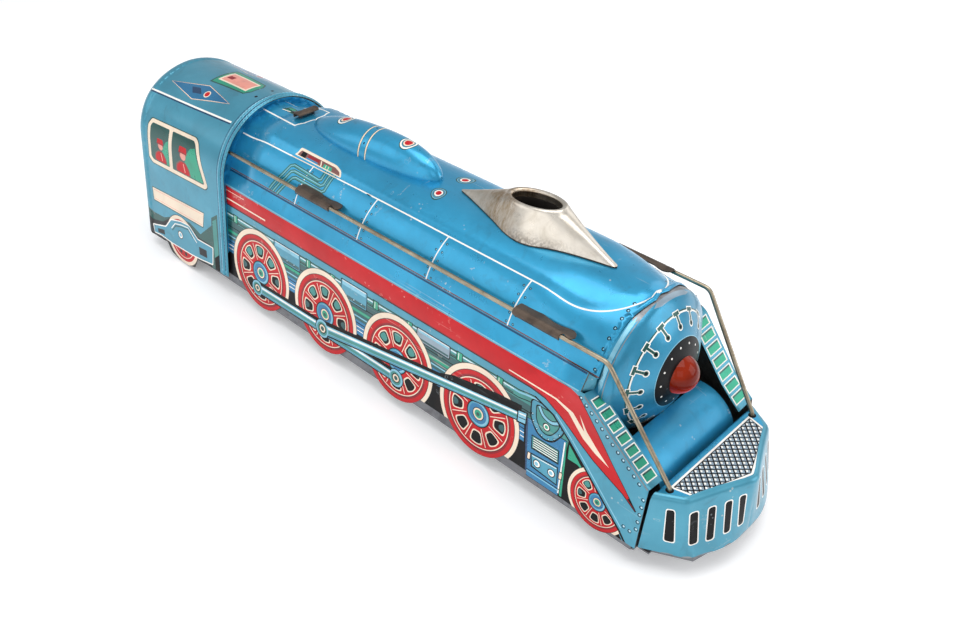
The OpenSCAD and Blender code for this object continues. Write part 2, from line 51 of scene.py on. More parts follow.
def chain(points, radii, step=0.12):
    """Dense line through corner points with rounded corners; returns (length, xy)."""
    pts = [np.array(p, float) for p in points]
    out = [pts[0]]
    for i in range(1, len(pts) - 1):
        a, b, c = pts[i - 1], pts[i], pts[i + 1]
        d1 = (b - a) / np.linalg.norm(b - a)
        d2 = (c - b) / np.linalg.norm(c - b)
        turn = math.acos(max(-1, min(1, float(d1 @ d2))))
        r = radii[i - 1]
        if turn < 1e-4 or r <= 0:
            out.append(b)
            continue
        cut = r * math.tan(turn / 2)
        p0, p1 = b - d1 * cut, b + d2 * cut
        side = np.sign(d1[0] * d2[1] - d1[1] * d2[0])
        n = np.array([-d1[1], d1[0]]) * side
        cen = p0 + n * r
        a0 = math.atan2(*(p0 - cen)[::-1])
        k = max(4, int(turn * r / step))
        for j in range(k + 1):
            t = a0 + side * turn * j / k
            out.append(cen + r * np.array([math.cos(t), math.sin(t)]))
    out.append(pts[-1])
    out = np.array(out)
    keep = [0]
    for i in range(1, len(out)):
        if np.linalg.norm(out[i] - out[keep[-1]]) > 1e-6:
            keep.append(i)
    out = out[keep]
    s = np.concatenate([[0], np.cumsum(np.linalg.norm(np.diff(out, axis=0), axis=1))])
    return s, out


def smooth(t):
    t = np.clip(t, 0, 1)
    return t * t * (3 - 2 * t)


# printed positions are laid out on a slim guide shape; the metal itself stands further out along slanting lines
FAN = (297.35, 285.14, 319.72)


def spread(x, y, z, k):
    """Carry a point at distance y from the middle plane outwards by k."""
    f = k / (FAN[1] - y)
    return x + (FAN[0] - x) * f, y + k, z + (FAN[2] - z) * f


# --- side sheet: u along the train, v up the sheet from wheel centre height
V0 = -30.0
_fy, _fz = HALF_W - 40.6 * SL, HUB + 40.6 * CL
_ss, _sp = chain([(HALF_W - V0 * SL, HUB + V0 * CL), (_fy, _fz), (31.95, 74.2)], [2.2])
DA = np.array([128.0, 40.6])
DB = np.array([165.2, 15.1])
DT = (DB - DA) / np.linalg.norm(DB - DA)
DN = np.array([-DT[1], DT[0]])
FOLD_R = 0.9
FLANGE = 9.1


def side_map(u, v):
    """Right side sheet."""
    u, v = np.asarray(u, float), np.asarray(v, float)
    d = (u - DA[0]) * DN[0] + (v - DA[1]) * DN[1]
    bend = (d > -FOLD_R) & (u > 127.2)
    th = np.clip((d + FOLD_R) / FOLD_R, 0, math.pi / 2)
    adv = np.where(bend, -FOLD_R + FOLD_R * np.sin(th), d)
    dep = np.where(bend, FOLD_R * (1 - np.cos(th)) + np.maximum(0, d + FOLD_R - FOLD_R * math.pi / 2), 0)
    uu = u + (adv - d) * DN[0]
    vv = v + (adv - d) * DN[1]
    y = np.interp(vv - V0, _ss, _sp[:, 0])
    z = np.interp(vv - V0, _ss, _sp[:, 1])
    y = y - dep * CL
    z = z - dep * SL
    low = np.clip((45.5 - vv) / 4.0, 0, 1)
    fade = 1 - 0.65 * low * (1 - smooth((uu + 116) / 32))
    k = np.interp(uu, _kx, _ks) * np.clip((vv - 15.5) / 23.0, 0, 1.0) * fade
    k = k - 0.10 * dep * smooth((uu - 120) / 12) + 2.4 * smooth((uu - 116) / 12) * np.clip((vv - 22) / 18, 0, 1)
    x, y, z = spread(uu, y, z, k)
    return np.stack([x, -y, z], -1)


# --- boiler: x along the train, w across the sheet from the crown line (+ left)
BW = 43.5
SEAM_Y, SEAM_Z = 31.9, 74.2
_cr = np.array([(0, 103.6), (4, 103.45), (8, 102.95), (10.4, 102.1), (12.0, 100.8), (13.3, 98.7), (14.4, 96.2), (15.6, 93.8), (16.9, 91.95), (18.5, 90.8)])


def _spline(xs, ys):
    """Natural cubic through points as a dense table."""
    n = len(xs)
    h = np.diff(xs)
    A = np.zeros((n, n))
    b = np.zeros(n)
    A[0, 0] = A[-1, -1] = 1
    for i in range(1, n - 1):
        A[i, i - 1] = h[i - 1]
        A[i, i] = 2 * (h[i - 1] + h[i])
        A[i, i + 1] = h[i]
        b[i] = 6 * ((ys[i + 1] - ys[i]) / h[i] - (ys[i] - ys[i - 1]) / h[i - 1])
    m = np.linalg.solve(A, b)
    X = np.linspace(xs[0], xs[-1], 400)
    k = np.clip(np.searchsorted(xs, X) - 1, 0, n - 2)
    t = X - xs[k]
    hh = h[k]
    Y = (m[k] * (hh - t) ** 3 + m[k + 1] * t ** 3) / (6 * hh) + (ys[k] / hh - m[k] * hh / 6) * (hh - t) + (ys[k + 1] / hh - m[k + 1] * hh / 6) * t
    return X, Y


_crx, _crz = _spline(_cr[:, 0], _cr[:, 1])
_arch0 = 62.2 + np.sqrt(34.1 ** 2 - _crx ** 2)
_crh = _crz - _arch0
FOOT = 18.5
NOSE_X, NOSE_TIP = 107.0, 132.0


def arch(x):
    t = smooth((np.asarray(x, float) - 85) / 45)
    return 34.1 + (33.0 - 34.1) * t, 62.2 + (65.5 - 62.2) * t


def nose_rho(x, y):
    k = FOOT / (NOSE_TIP - NOSE_X)
    return np.where(x > NOSE_X, np.hypot(y, np.maximum(x - NOSE_X, 0) * k), np.abs(y))


def boiler_y(x, w):
    R, c = arch(x)
    return R * np.sin(np.asarray(w) / BW * np.arcsin(SEAM_Y / R))


def boiler_w(x, y):
    R, c = arch(x)
    return np.arcsin(np.clip(np.asarray(y) / R, -1, 1)) / np.arcsin(SEAM_Y / R) * BW


def boiler_z(x, y):
    R, c = arch(x)
    plain = c + np.sqrt(np.maximum(R ** 2 - y ** 2, 0))
    g = (103.6 - 2.2 * smooth((x - 86) / 44) - (c + R)) / 7.3
    return plain + np.interp(nose_rho(x, y), _crx, _crh, right=0) * g


PAD, PAD_X, PAD_TIP = 24.2, 104.0, 133.8
_shell = np.array([(0, 103.15), (4, 103.1), (8.4, 102.9), (12.4, 102.3), (16, 101.25), (20.5, 99.35), (24.2, 97.05), (28.4, 93.2), (31.8, 88.0), (34.2, 82.4), (35.6, 77.8), (37.0, 72.8)])
_shy, _shz = _spline(_shell[:, 0], _shell[:, 1])


def pad_rho(x, y):
    """Distance from the middle of the raised pad, rounded at its front end."""
    q = PAD / (PAD_TIP - PAD_X)
    return np.where(x > PAD_X, np.hypot(y, np.maximum(x - PAD_X, 0) * q), y)


def shell_z(x, y):
    """Height of the boiler metal at distance y from the middle plane."""
    a = smooth((x - 92) / 42)
    f = smooth((x - 100) / 34)
    e = 0.12 * smooth((-86 - x) / 22)
    q = y / (1 - e)
    body = np.interp(q, _shy, _shz) - 4.0 * np.maximum(q - 37.0, 0)
    body = 65 + (body - 65) * (1 - e)
    R, c = 33.9, 67.4
    ye = y - 4.4 * f * np.clip((y - 25) / 12, 0, 1.2) ** 2
    over = np.maximum(ye - (R - 0.6), 0)
    ye = np.minimum(ye, R - 0.6)
    end = c + np.sqrt(R ** 2 - ye ** 2) - 8.0 * over
    step = (0.8 + 1.4 * smooth((10 - x) / 110)) * smooth((pad_rho(x, y) / (1 - e) - (PAD - 4.0)) / 4.0)
    return body + (end - body) * a - step


def shell_k(x, y, z):
    """How far a guide point moves outwards to reach the metal."""
    x, y, z = np.broadcast_arrays(np.asarray(x, float), np.asarray(y, float), np.asarray(z, float))
    lo, hi = np.full(x.shape, -3.0), np.full(x.shape, 10.0)
    for _ in range(34):
        k = 0.5 * (lo + hi)
        a, b, c = spread(x, y, z, k)
        up = c > shell_z(a, np.abs(b))
        hi = np.where(up, k, hi)
        lo = np.where(up, lo, k)
    return 0.5 * (lo + hi)


def boiler_at(x, y):
    """Guide position (x, y) carried out to the metal."""
    x, y = np.asarray(x, float), np.asarray(y, float)
    ya = np.abs(y)
    z = boiler_z(x, ya)
    k = shell_k(x, ya, z) * np.clip(ya / 2.0, 0, 1)
    a, b, c = spread(x, ya, z, k)
    c = np.where(ya < 2.0, shell_z(a, b), c)
    return a, np.sign(y) * b, c


def guide(x, y):
    """Metal position back to its guide position."""
    ya = abs(y)
    z = float(shell_z(np.float64(x), np.float64(ya)))
    lo, hi = -3.0, min(9.0, ya)
    for _ in range(40):
        k = 0.5 * (lo + hi)
        f = k / (FAN[1] - ya + k)
        xp, zp = (x - FAN[0] * f) / (1 - f), (z - FAN[2] * f) / (1 - f)
        if zp > float(boiler_z(np.float64(xp), np.float64(ya - k))):
            lo = k
        else:
            hi = k
    k *= min(1.0, ya / 2.0)
    f = k / (FAN[1] - ya + k)
    return (x - FAN[0] * f) / (1 - f), math.copysign(ya - k, y)


_kx = np.linspace(-140, 150, 60)
_ks = shell_k(_kx, SEAM_Y, SEAM_Z)


def rim_x(w):
    """Front edge of the boiler sheet."""
    return np.interp(np.abs(w), [0, 3.9, 7.8, 11.7, 15.6, 31, 43.5], [134.3, 133.8, 133.3, 132.6, 131.8, 131.6, 131.3])


def boiler_map(x, w):
    x, w = np.asarray(x, float), np.asarray(w, float)
    x, w = np.broadcast_arrays(x, w)
    a, b, c = boiler_at(x, boiler_y(x, w))
    # rolled bead along the front rim, pushed out along the arch radius
    t = np.clip((x - rim_x(w) + 2.3) / 2.3, 0, 1)
    bead = 0.75 * np.sin(math.pi * t) ** 0.8
    r = np.hypot(b, c - 68.0)
    return np.stack([a, b + bead * b / r, c + bead * (c - 68.0) / r], -1)


# --- cab: x along the train, w across the sheet from the roof line (+ left)
CAB_X0, CAB_X1 = -192.7, -110.4
_cz = 65.4
_cr0 = 38.6
_ch = 41.85
_pts = [(_ch - V0 * SL, HUB + V0 * CL)]
_zt = _cz + _cr0 * SL
_pts.append((_ch - (_zt - HUB) * SL / CL, _zt))
_arc = [(_cr0 * math.cos(t), _cz + _cr0 * math.sin(t)) for t in np.linspace(LEAN, math.pi / 2, 120)]
_cp = np.array(_pts[:1] + _arc)
_cs = np.concatenate([[0], np.cumsum(np.linalg.norm(np.diff(_cp, axis=0), axis=1))]) + V0
CAB_TOP = _cs[-1]


def cab_map(x, w):
    """w = v - CAB_TOP on the right side, CAB_TOP - v on the left."""
    x, w = np.asarray(x, float), np.asarray(w, float)
    v = CAB_TOP - np.abs(w)
    y = np.interp(v, _cs, _cp[:, 0])
    z = np.interp(v, _cs, _cp[:, 1])
    # two beads round the front edge and a pressed-in shoulder at the rear
    def hump(c0, hw):
        t = np.clip(np.abs(x - c0) / hw, 0, 1)
        return np.cos(t * math.pi / 2) ** 2
    off = 1.0 * hump(CAB_X1 - 1.0, 1.1) + 1.0 * hump(CAB_X1 - 4.2, 1.2)
    off = off - 1.3 * smooth((CAB_X0 + 3.6 - x) / 3.6) ** 1.6 - 0.45 * hump(CAB_X0 + 6.2, 1.3)
    off = off - 1.3 * smooth((-140 - x) / 45) * smooth((38 - np.abs(w)) / 30)
    ny, nz = y / np.hypot(y, z - _cz), (z - _cz) / np.hypot(y, z - _cz)
    flat = v < _cs[1]
    ny = np.where(flat, CL, ny)
    nz = np.where(flat, SL, nz)
    y = np.clip(y + off * ny, 0, 44.2)
    z = z + off * nz
    return np.stack([x, np.sign(w) * y, z], -1)


# --- front cap: a, b = plane coordinates, distance from the middle measured along the sheet
CAP_X, CAP_Z, CAP_RD = 150.5, 67.5, 42.5
CAP_R = 32.5
_prof = [(CAP_RD * math.sin(t), CAP_X - CAP_RD + CAP_RD * math.cos(t)) for t in np.linspace(0, math.asin(25.0 / CAP_RD), 80)]
_e = np.array(_prof[-1])
_tan = np.array([math.cos(math.asin(25.0 / CAP_RD)), -25.0 / CAP_RD])
_corner = _e + _tan * ((CAP_R - _e[0]) / _tan[0])
_s2, _p2 = chain([tuple(_e), tuple(_corner), (CAP_R, 126.5)], [7.5])
_capp = np.vstack([np.array(_prof), _p2[1:]])
_caps = np.concatenate([[0], np.cumsum(np.linalg.norm(np.diff(_capp, axis=0), axis=1))])
CAP_S = _caps[-1]


def cap_map(a, b):
    a, b = np.asarray(a, float), np.asarray(b, float)
    s = np.hypot(a, b)
    r = np.interp(s, _caps, _capp[:, 0])
    x = np.interp(s, _caps, _capp[:, 1])
    k = np.where(s > 1e-9, r / np.maximum(s, 1e-9), 1)
    # the shoulder is drawn out sideways to the width of the boiler end
    wide = 1 + 0.085 * smooth((r - 27.0) / 5.5) * (a / np.maximum(s, 1e-9)) ** 2
    return np.stack([x, a * k * wide, CAP_Z + b * k], -1)


# --- dome: x along, q across measured as angle arc
DOME_Z = 102.2
DOME_K = 0.72
DOME_E = 1.15


def dome_size(x):
    """half width of the teardrop hump at x"""
    t = np.clip((np.asarray(x, float) + 77.0) / 89.4, 0, 1)
    rear = np.sqrt(np.clip(1 - np.clip((0.42 - t) / 0.42, 0, 1) ** 2.3, 0, 1))
    front = np.sqrt(np.clip(1 - np.clip((t - 0.42) / 0.58, 0, 1) ** 2.5, 0, 1))
    return 10.9 * rear * front


def dome_map(x, q):
    x, q = np.asarray(x, float), np.asarray(q, float)
    r = dome_size(x)
    th = q / 17.0 * math.radians(100)
    t = np.clip((x + 77.0) / 89.4, 0, 1)
    return np.stack([x, r * np.sin(th), DOME_Z + DOME_K * (1 + DOME_E * t) * r * np.cos(th)], -1)


# --- pilot: s along the wall from the right rear edge, h up the wall and over the rounded edge
PIL_Z0, PIL_Z1, PIL_F = 11.0, 39.5, 2.3
_pp = [(165.8, -40.8), (184.4, -31.2), (192.75, 0.0), (184.4, 31.2), (165.8, 40.8)]
_pq = [(166.3, -38.2), (178.4, -31.2), (191.5, 0.0), (178.4, 31.2), (166.3, 38.2)]
_pr = [5.0, 9.0, 5.0]
PIL_S, _pxy = chain(_pp, _pr, 0.3)


def _pilot_setup():
    d = [np.subtract(_pp[i + 1], _pp[i]) for i in range(4)]
    ln = [np.linalg.norm(v) for v in d]
    nr = []
    for i in range(4):
        v = np.subtract(_pq[i + 1], _pq[i])
        nr.append(np.array([-v[1], v[0]]) / np.linalg.norm(v))
    lean = [np.subtract(q, p) / (PIL_Z1 - PIL_Z0) for p, q in zip(_pp, _pq)]
    M, U, brk = [lean[0]], [np.array([0, 1 / nr[0][1]])], [0.0]
    pos, cut_prev = 0.0, 0.0
    for i in range(3):
        turn = math.acos(float(d[i] @ d[i + 1]) / ln[i] / ln[i + 1])
        cut = _pr[i] * math.tan(turn / 2)
        pos += ln[i] - cut_prev - cut
        w = np.linalg.solve(np.array([nr[i], nr[i + 1]]), np.ones(2))
        brk += [pos, pos + _pr[i] * turn]
        M += [lean[i + 1], lean[i + 1]]
        U += [w, w]
        pos += _pr[i] * turn
        cut_prev = cut
    brk.append(PIL_S[-1])
    M.append(lean[4])
    U.append(np.array([0, 1 / nr[3][1]]))
    return brk, np.array(M), np.array(U)


PIL_BRK, _pm, _pu = _pilot_setup()
PIL_H1 = PIL_Z1 - PIL_F - PIL_Z0
PIL_H2 = PIL_H1 + PIL_F * math.pi / 2


def pilot_place(sv, z, f):
    mid = 0.5 * (PIL_BRK[3] + PIL_BRK[4])
    t = np.clip((mid - np.abs(np.asarray(sv, float) - mid)) - PIL_BRK[2], 0, None) / (mid - PIL_BRK[2])
    bulge = 2.5 * np.sin(math.pi * t) * (1 - 1.2 * (z - PIL_Z0) / (PIL_Z1 - PIL_Z0))
    x = bulge + np.interp(sv, PIL_S, _pxy[:, 0]) + np.interp(sv, PIL_BRK, _pm[:, 0]) * (z - PIL_Z0) + np.interp(sv, PIL_BRK, _pu[:, 0]) * f
    y = np.interp(sv, PIL_S, _pxy[:, 1]) + np.interp(sv, PIL_BRK, _pm[:, 1]) * (z - PIL_Z0) + np.interp(sv, PIL_BRK, _pu[:, 1]) * f
    return np.stack([x, y, np.broadcast_to(z, x.shape)], -1)


def pilot_wall(sv, h):
    sv, h = np.asarray(sv, float), np.asarray(h, float)
    t = np.clip((h - PIL_H1) / PIL_F, 0, math.pi / 2)
    z = np.where(h < PIL_H1, PIL_Z0 + h, PIL_Z1 - PIL_F + PIL_F * np.sin(t))
    f = PIL_F * (1 - np.cos(t)) + np.maximum(0, h - PIL_H2)
    return pilot_place(sv, z, f)


# ------------------------------------------------------------------ materials
def lin(rgb):
    out = []
    for c in rgb:
        c = c / 255.0
        out.append(c / 12.92 if c <= 0.04045 else ((c + 0.055) / 1.055) ** 2.4)
    return (out[0], out[1], out[2], 1.0)


def shade(rgb, k):
    return tuple(max(0, min(255, c * k)) for c in rgb)


def mixc(a, b, t):
    return tuple(x + (y - x) * t for x, y in zip(a, b))


class Nodes:
    """Small helper that lays out a node tree."""

    def __init__(self, mat):
        mat.use_nodes = True
        self.t = mat.node_tree
        self.t.nodes.clear()
        self.x = 0

    def new(self, kind, **props):
        n = self.t.nodes.new(kind)
        self.x += 180
        n.location = (self.x, 0)
        for k, v in props.items():
            setattr(n, k, v)
        return n

    def link(self, a, b):
        self.t.links.new(a, b)

    def coords(self, scale=(1, 1, 1), rot=(0, 0, 0)):
        c = self.new("ShaderNodeTexCoord")
        m = self.new("ShaderNodeMapping")
        m.inputs["Scale"].default_value = scale
        m.inputs["Rotation"].default_value = rot
        self.link(c.outputs["Object"], m.inputs["Vector"])
        return m.outputs["Vector"]

    def noise(self, vec, scale, detail=4.0, rough=0.55, dist=0.0):
        n = self.new("ShaderNodeTexNoise")
        n.inputs["Scale"].default_value = scale
        n.inputs["Detail"].default_value = detail
        n.inputs["Roughness"].default_value = rough
        n.inputs["Distortion"].default_value = dist
        self.link(vec, n.inputs["Vector"])
        return n.outputs["Fac"]

    def ramp(self, fac, stops, interp="LINEAR"):
        r = self.new("ShaderNodeValToRGB")
        cr = r.color_ramp
        cr.interpolation = interp
        while len(cr.elements) < len(stops):
            cr.elements.new(0.5)
        for e, (p, c) in zip(cr.elements, stops):
            e.position = p
            e.color = c if len(c) == 4 else (c[0], c[0], c[0], 1)
        self.link(fac, r.inputs["Fac"])
        return r.outputs["Color"]

    def mix(self, fac, a, b, mode="MIX"):
        m = self.new("ShaderNodeMix", data_type="RGBA", blend_type=mode)
        self.link(fac, m.inputs["Factor"])
        for sock, val in (("A", a), ("B", b)):
            s = [i for i in m.inputs if i.name == sock and i.type == "RGBA"][0]
            if isinstance(val, tuple):
                s.default_value = val
            else:
                self.link(val, s)
        return [o for o in m.outputs if o.type == "RGBA"][0]

    def math(self, op, a, b=None):
        m = self.new("ShaderNodeMath", operation=op)
        for i, val in enumerate((a, b)):
            if val is None:
                continue
            if isinstance(val, (int, float)):
                m.inputs[i].default_value = val
            else:
                self.link(val, m.inputs[i])
        return m.outputs["Value"]


MATS = {}


def ink(name, rgb, metallic=0.0, rough=(0.22, 0.36), coat=0.5, wear=0.5, wear_rgb=(226, 220, 206), mottle=0.05, dirt=0.35,
        bump=0.05, dirt_rgb=None, scratch=1.0, seed=0.0, spec=0.5):
    """Lithographed ink on tin: cloudy tone, hairline scratches, chipped specks, rubbed gloss."""
    m = bpy.data.materials.new(name)
    N = Nodes(m)
    vec = N.coords((1, 1, 1), (0.3 + seed, 0.2, 0.1 + seed))
    # tone of the ink drifts a little
    cloud = N.noise(vec, 38.0, 5.0, 0.6, 0.4)
    col = N.ramp(cloud, [(0.28, lin(shade(rgb, 1 - mottle * 1.5))), (0.52, lin(rgb)), (0.76, lin(mixc(shade(rgb, 1 + mottle), (255, 255, 255), mottle)))])
    # grime gathers in soft patches
    g = N.noise(vec, 95.0, 6.0, 0.65, 0.8)
    gm = N.ramp(g, [(0.56, (0.0,)), (0.82, (dirt,))])
    col = N.mix(gm, col, lin(dirt_rgb or mixc(shade(rgb, 0.45), (70, 55, 40), 0.5)))
    # hairline scratches in two directions, only where a broad mask allows them
    masks = []
    for k, (sc, rot) in enumerate((((6, 260, 260), (0.25, 0.1, 0.45 + seed)), ((190, 9, 230), (0.5, -0.6, -0.25 - seed)))):
        v2 = N.coords(sc, rot)
        s = N.noise(v2, 1.0, 3.0, 0.6, 0.15)
        masks.append(N.ramp(s, [(0.655, (0.0,)), (0.675, (1.0,)), (0.70, (0.0,))]))
    sc = N.math("MAXIMUM", masks[0], masks[1])
    where = N.ramp(N.noise(vec, 24.0, 3.0, 0.5), [(0.50, (0.0,)), (0.66, (scratch,))])
    sc = N.math("MULTIPLY", sc, where)
    # chips: small ragged specks of bare tin
    v = N.new("ShaderNodeTexVoronoi", feature="F1")
    v.inputs["Scale"].default_value = 420.0
    N.link(vec, v.inputs["Vector"])
    near = N.math("SUBTRACT", v.outputs["Distance"], N.math("MULTIPLY", N.noise(vec, 900.0, 2.0), 0.35))
    chip = N.ramp(near, [(0.0, (1.0,)), (0.05, (0.0,))])
    chip = N.math("MULTIPLY", chip, N.ramp(N.noise(vec, 52.0, 3.0), [(0.64, (0.0,)), (0.72, (1.0,))]))
    worn = N.math("MULTIPLY", N.math("MAXIMUM", sc, chip), wear)
    col = N.mix(worn, col, lin(wear_rgb))
    b = N.new("ShaderNodeBsdfPrincipled")
    N.link(col, b.inputs["Base Color"])
    b.inputs["Metallic"].default_value = metallic
    rr = N.new("ShaderNodeMapRange")
    rr.inputs["From Min"].default_value = 0.3
    rr.inputs["From Max"].default_value = 0.75
    rr.inputs["To Min"].default_value = rough[0]
    rr.inputs["To Max"].default_value = rough[1]
    N.link(N.noise(vec, 140.0, 5.0, 0.7), rr.inputs["Value"])
    N.link(N.math("ADD", rr.outputs["Result"], N.math("MULTIPLY", worn, 0.2)), b.inputs["Roughness"])
    b.inputs["Coat Weight"].default_value = coat
    b.inputs["Specular IOR Level"].default_value = spec
    b.inputs["Coat Roughness"].default_value = 0.10
    # tin is never dead flat: slow waves, fine grain and dug scratches
    h = N.math("ADD", N.math("MULTIPLY", N.noise(vec, 55.0, 3.0, 0.5), 0.6), N.math("MULTIPLY", N.noise(vec, 1500.0, 2.0), 0.10))
    h = N.math("SUBTRACT", h, N.math("MULTIPLY", worn, 0.25))
    bp = N.new("ShaderNodeBump")
    bp.inputs["Strength"].default_value = bump * 4
    bp.inputs["Distance"].default_value = 0.00045
    N.link(h, bp.inputs["Height"])
    N.link(bp.outputs["Normal"], b.inputs["Normal"])
    N.link(bp.outputs["Normal"], b.inputs["Coat Normal"])
    o = N.new("ShaderNodeOutputMaterial")
    N.link(b.outputs["BSDF"], o.inputs["Surface"])
    m.diffuse_color = lin(rgb)
    MATS[name] = m
    return m


def metal(name, rgb, dark, metallic=1.0, rough=(0.18, 0.4), spots=0.5, spot_rgb=(70, 52, 38), brush=None, bump=0.12, spot_scale=160.0, plate=False):
    """Bare or plated metal: tarnish clouds, rust specks, brushing."""
    m = bpy.data.materials.new(name)
    N = Nodes(m)
    vec = N.coords((1, 1, 1), (0.4, 0.1, 0.7))
    c = N.noise(vec, 70.0, 7.0, 0.66, 1.2)
    col = N.ramp(c, [(0.30, lin(dark)), (0.50, lin(mixc(dark, rgb, 0.75))), (0.70, lin(rgb))])
    s = N.noise(vec, spot_scale, 8.0, 0.72, 0.6)
    sm = N.ramp(s, [(0.57, (0.0,)), (0.72, (spots,))])
    col = N.mix(sm, col, lin(spot_rgb))
    if plate:
        # brown streaks run down behind the middle, part tarnish and part a painted reflection of something dark; grey
        # pitting low down ahead of it
        at = N.new("ShaderNodeTexCoord")
        xyz = N.new("ShaderNodeSeparateXYZ")
        N.link(at.outputs["Object"], xyz.inputs["Vector"])
        run = N.noise(N.coords((520, 520, 60)), 1.0, 5.0, 0.65, 0.4)
        px = N.new("ShaderNodeMapRange")
        px.inputs["From Min"].default_value = 0.044
        px.inputs["From Max"].default_value = 0.110
        N.link(N.math("ADD", xyz.outputs["X"], N.math("MULTIPLY", N.noise(vec, 130.0, 4.0), 0.006)), px.inputs["Value"])
        band = N.ramp(px.outputs["Result"], [(0.0, (0.25,)), (0.13, (0.95,)), (0.32, (0.85,)), (0.41, (0.0,))])
        col = N.mix(N.math("MULTIPLY", band, N.ramp(run, [(0.34, (0.25,)), (0.62, (1.0,))])), col, lin((158, 132, 100)))
        pz = N.new("ShaderNodeMapRange")
        pz.inputs["From Min"].default_value = 0.1000
        pz.inputs["From Max"].default_value = 0.1130
        N.link(N.math("ADD", xyz.outputs["Z"], N.math("MULTIPLY", N.noise(vec, 160.0, 4.0), 0.004)), pz.inputs["Value"])
        low = N.ramp(pz.outputs["Result"], [(0.30, (0.95,)), (0.80, (0.0,))])
        pit = N.ramp(N.noise(vec, 900.0, 3.0, 0.6), [(0.40, (0.30,)), (0.58, (1.0,))])
        ahead = N.ramp(px.outputs["Result"], [(0.32, (0.0,)), (0.40, (1.0,)), (0.66, (1.0,)), (0.84, (0.15,))])
        col = N.mix(N.math("MULTIPLY", N.math("MULTIPLY", low, pit), ahead), col, lin((108, 100, 94)))
    b = N.new("ShaderNodeBsdfPrincipled")
    N.link(col, b.inputs["Base Color"])
    b.inputs["Metallic"].default_value = metallic
    rr = N.new("ShaderNodeMapRange")
    rr.inputs["From Min"].default_value = 0.3
    rr.inputs["From Max"].default_value = 0.72
    rr.inputs["To Min"].default_value = rough[0]
    rr.inputs["To Max"].default_value = rough[1]
    N.link(N.noise(vec, 210.0, 6.0, 0.7), rr.inputs["Value"])
    N.link(N.math("ADD", rr.outputs["Result"], N.math("MULTIPLY", sm, 0.3)), b.inputs["Roughness"])
    if brush:
        bv = N.coords(brush)
        h = N.noise(bv, 1.0, 3.0, 0.6)
    else:
        h = N.noise(vec, 480.0, 4.0, 0.6)
    h = N.math("SUBTRACT", h, N.math("MULTIPLY", sm, 0.5))
    bp = N.new("ShaderNodeBump")
    bp.inputs["Strength"].default_value = bump * 3
    bp.inputs["Distance"].default_value = 0.00025
    N.link(h, bp.inputs["Height"])
    N.link(bp.outputs["Normal"], b.inputs["Normal"])
    o = N.new("ShaderNodeOutputMaterial")
    N.link(b.outputs["BSDF"], o.inputs["Surface"])
    m.diffuse_color = lin(rgb)
    MATS[name] = m
    return m


def lens_material(name):
    m = bpy.data.materials.new(name)
    N = Nodes(m)
    vec = N.coords((1, 1, 1))
    # painted light and shade by height: amber-red low down where light shines through, deep red higher up where the
    # bulb space behind lies in shade, a little lighter again at the top
    at = N.new("ShaderNodeTexCoord")
    xyz = N.new("ShaderNodeSeparateXYZ")
    N.link(at.outputs["Object"], xyz.inputs["Vector"])
    up = N.new("ShaderNodeMapRange")
    up.inputs["From Min"].default_value = 0.0597
    up.inputs["From Max"].default_value = 0.0769
    lean = N.math("MULTIPLY", xyz.outputs["Y"], -0.45)
    N.link(N.math("ADD", N.math("ADD", xyz.outputs["Z"], lean), N.math("MULTIPLY", N.noise(vec, 190.0, 3.0, 0.5), 0.003)), up.inputs["Value"])
    col = N.ramp(up.outputs["Result"], [(0.14, lin((166, 38, 8))), (0.40, lin((110, 18, 5))), (0.62, lin((66, 8, 4))), (0.84, lin((84, 13, 6))), (1.0, lin((122, 28, 10)))])
    b = N.new("ShaderNodeBsdfPrincipled")
    N.link(col, b.inputs["Base Color"])
    # painted glow: emission stands in for the light that comes through the low side
    N.link(N.ramp(up.outputs["Result"], [(0.10, (0.62, 0.085, 0.006, 1)), (0.40, (0.32, 0.022, 0.002, 1)), (0.66, (0.09, 0.004, 0.0, 1)), (0.95, (0.10, 0.010, 0.001, 1))]), b.inputs["Emission Color"])
    b.inputs["Emission Strength"].default_value = 1.0
    rr = N.new("ShaderNodeMapRange")
    rr.inputs["To Min"].default_value = 0.03
    rr.inputs["To Max"].default_value = 0.07
    N.link(N.noise(vec, 500.0, 5.0), rr.inputs["Value"])
    N.link(rr.outputs["Result"], b.inputs["Roughness"])
    b.inputs["Transmission Weight"].default_value = 0.1
    b.inputs["IOR"].default_value = 1.49
    b.inputs["Coat Weight"].default_value = 0.0
    b.inputs["Specular IOR Level"].default_value = 0.15
    bp = N.new("ShaderNodeBump")
    bp.inputs["Strength"].default_value = 0.05
    bp.inputs["Distance"].default_value = 0.0002
    N.link(N.noise(vec, 160.0, 2.0), bp.inputs["Height"])
    N.link(bp.outputs["Normal"], b.inputs["Normal"])
    o = N.new("ShaderNodeOutputMaterial")
    N.link(b.outputs["BSDF"], o.inputs["Surface"])
    MATS[name] = m
    return m


def glass_material(name):
    m = bpy.data.materials.new(name)
    N = Nodes(m)
    vec = N.coords((1, 1, 1))
    b = N.new("ShaderNodeBsdfPrincipled")
    c = N.noise(vec, 300.0, 3.0)
    N.link(N.ramp(c, [(0.3, lin((236, 232, 222))), (0.7, lin((250, 250, 246)))]), b.inputs["Base Color"])
    rr = N.new("ShaderNodeMapRange")
    rr.inputs["To Min"].default_value = 0.02
    rr.inputs["To Max"].default_value = 0.10
    N.link(c, rr.inputs["Value"])
    N.link(rr.outputs["Result"], b.inputs["Roughness"])
    b.inputs["Transmission Weight"].default_value = 0.95
    b.inputs["IOR"].default_value = 1.5
    o = N.new("ShaderNodeOutputMaterial")
    N.link(b.outputs["BSDF"], o.inputs["Surface"])
    MATS[name] = m
    return m


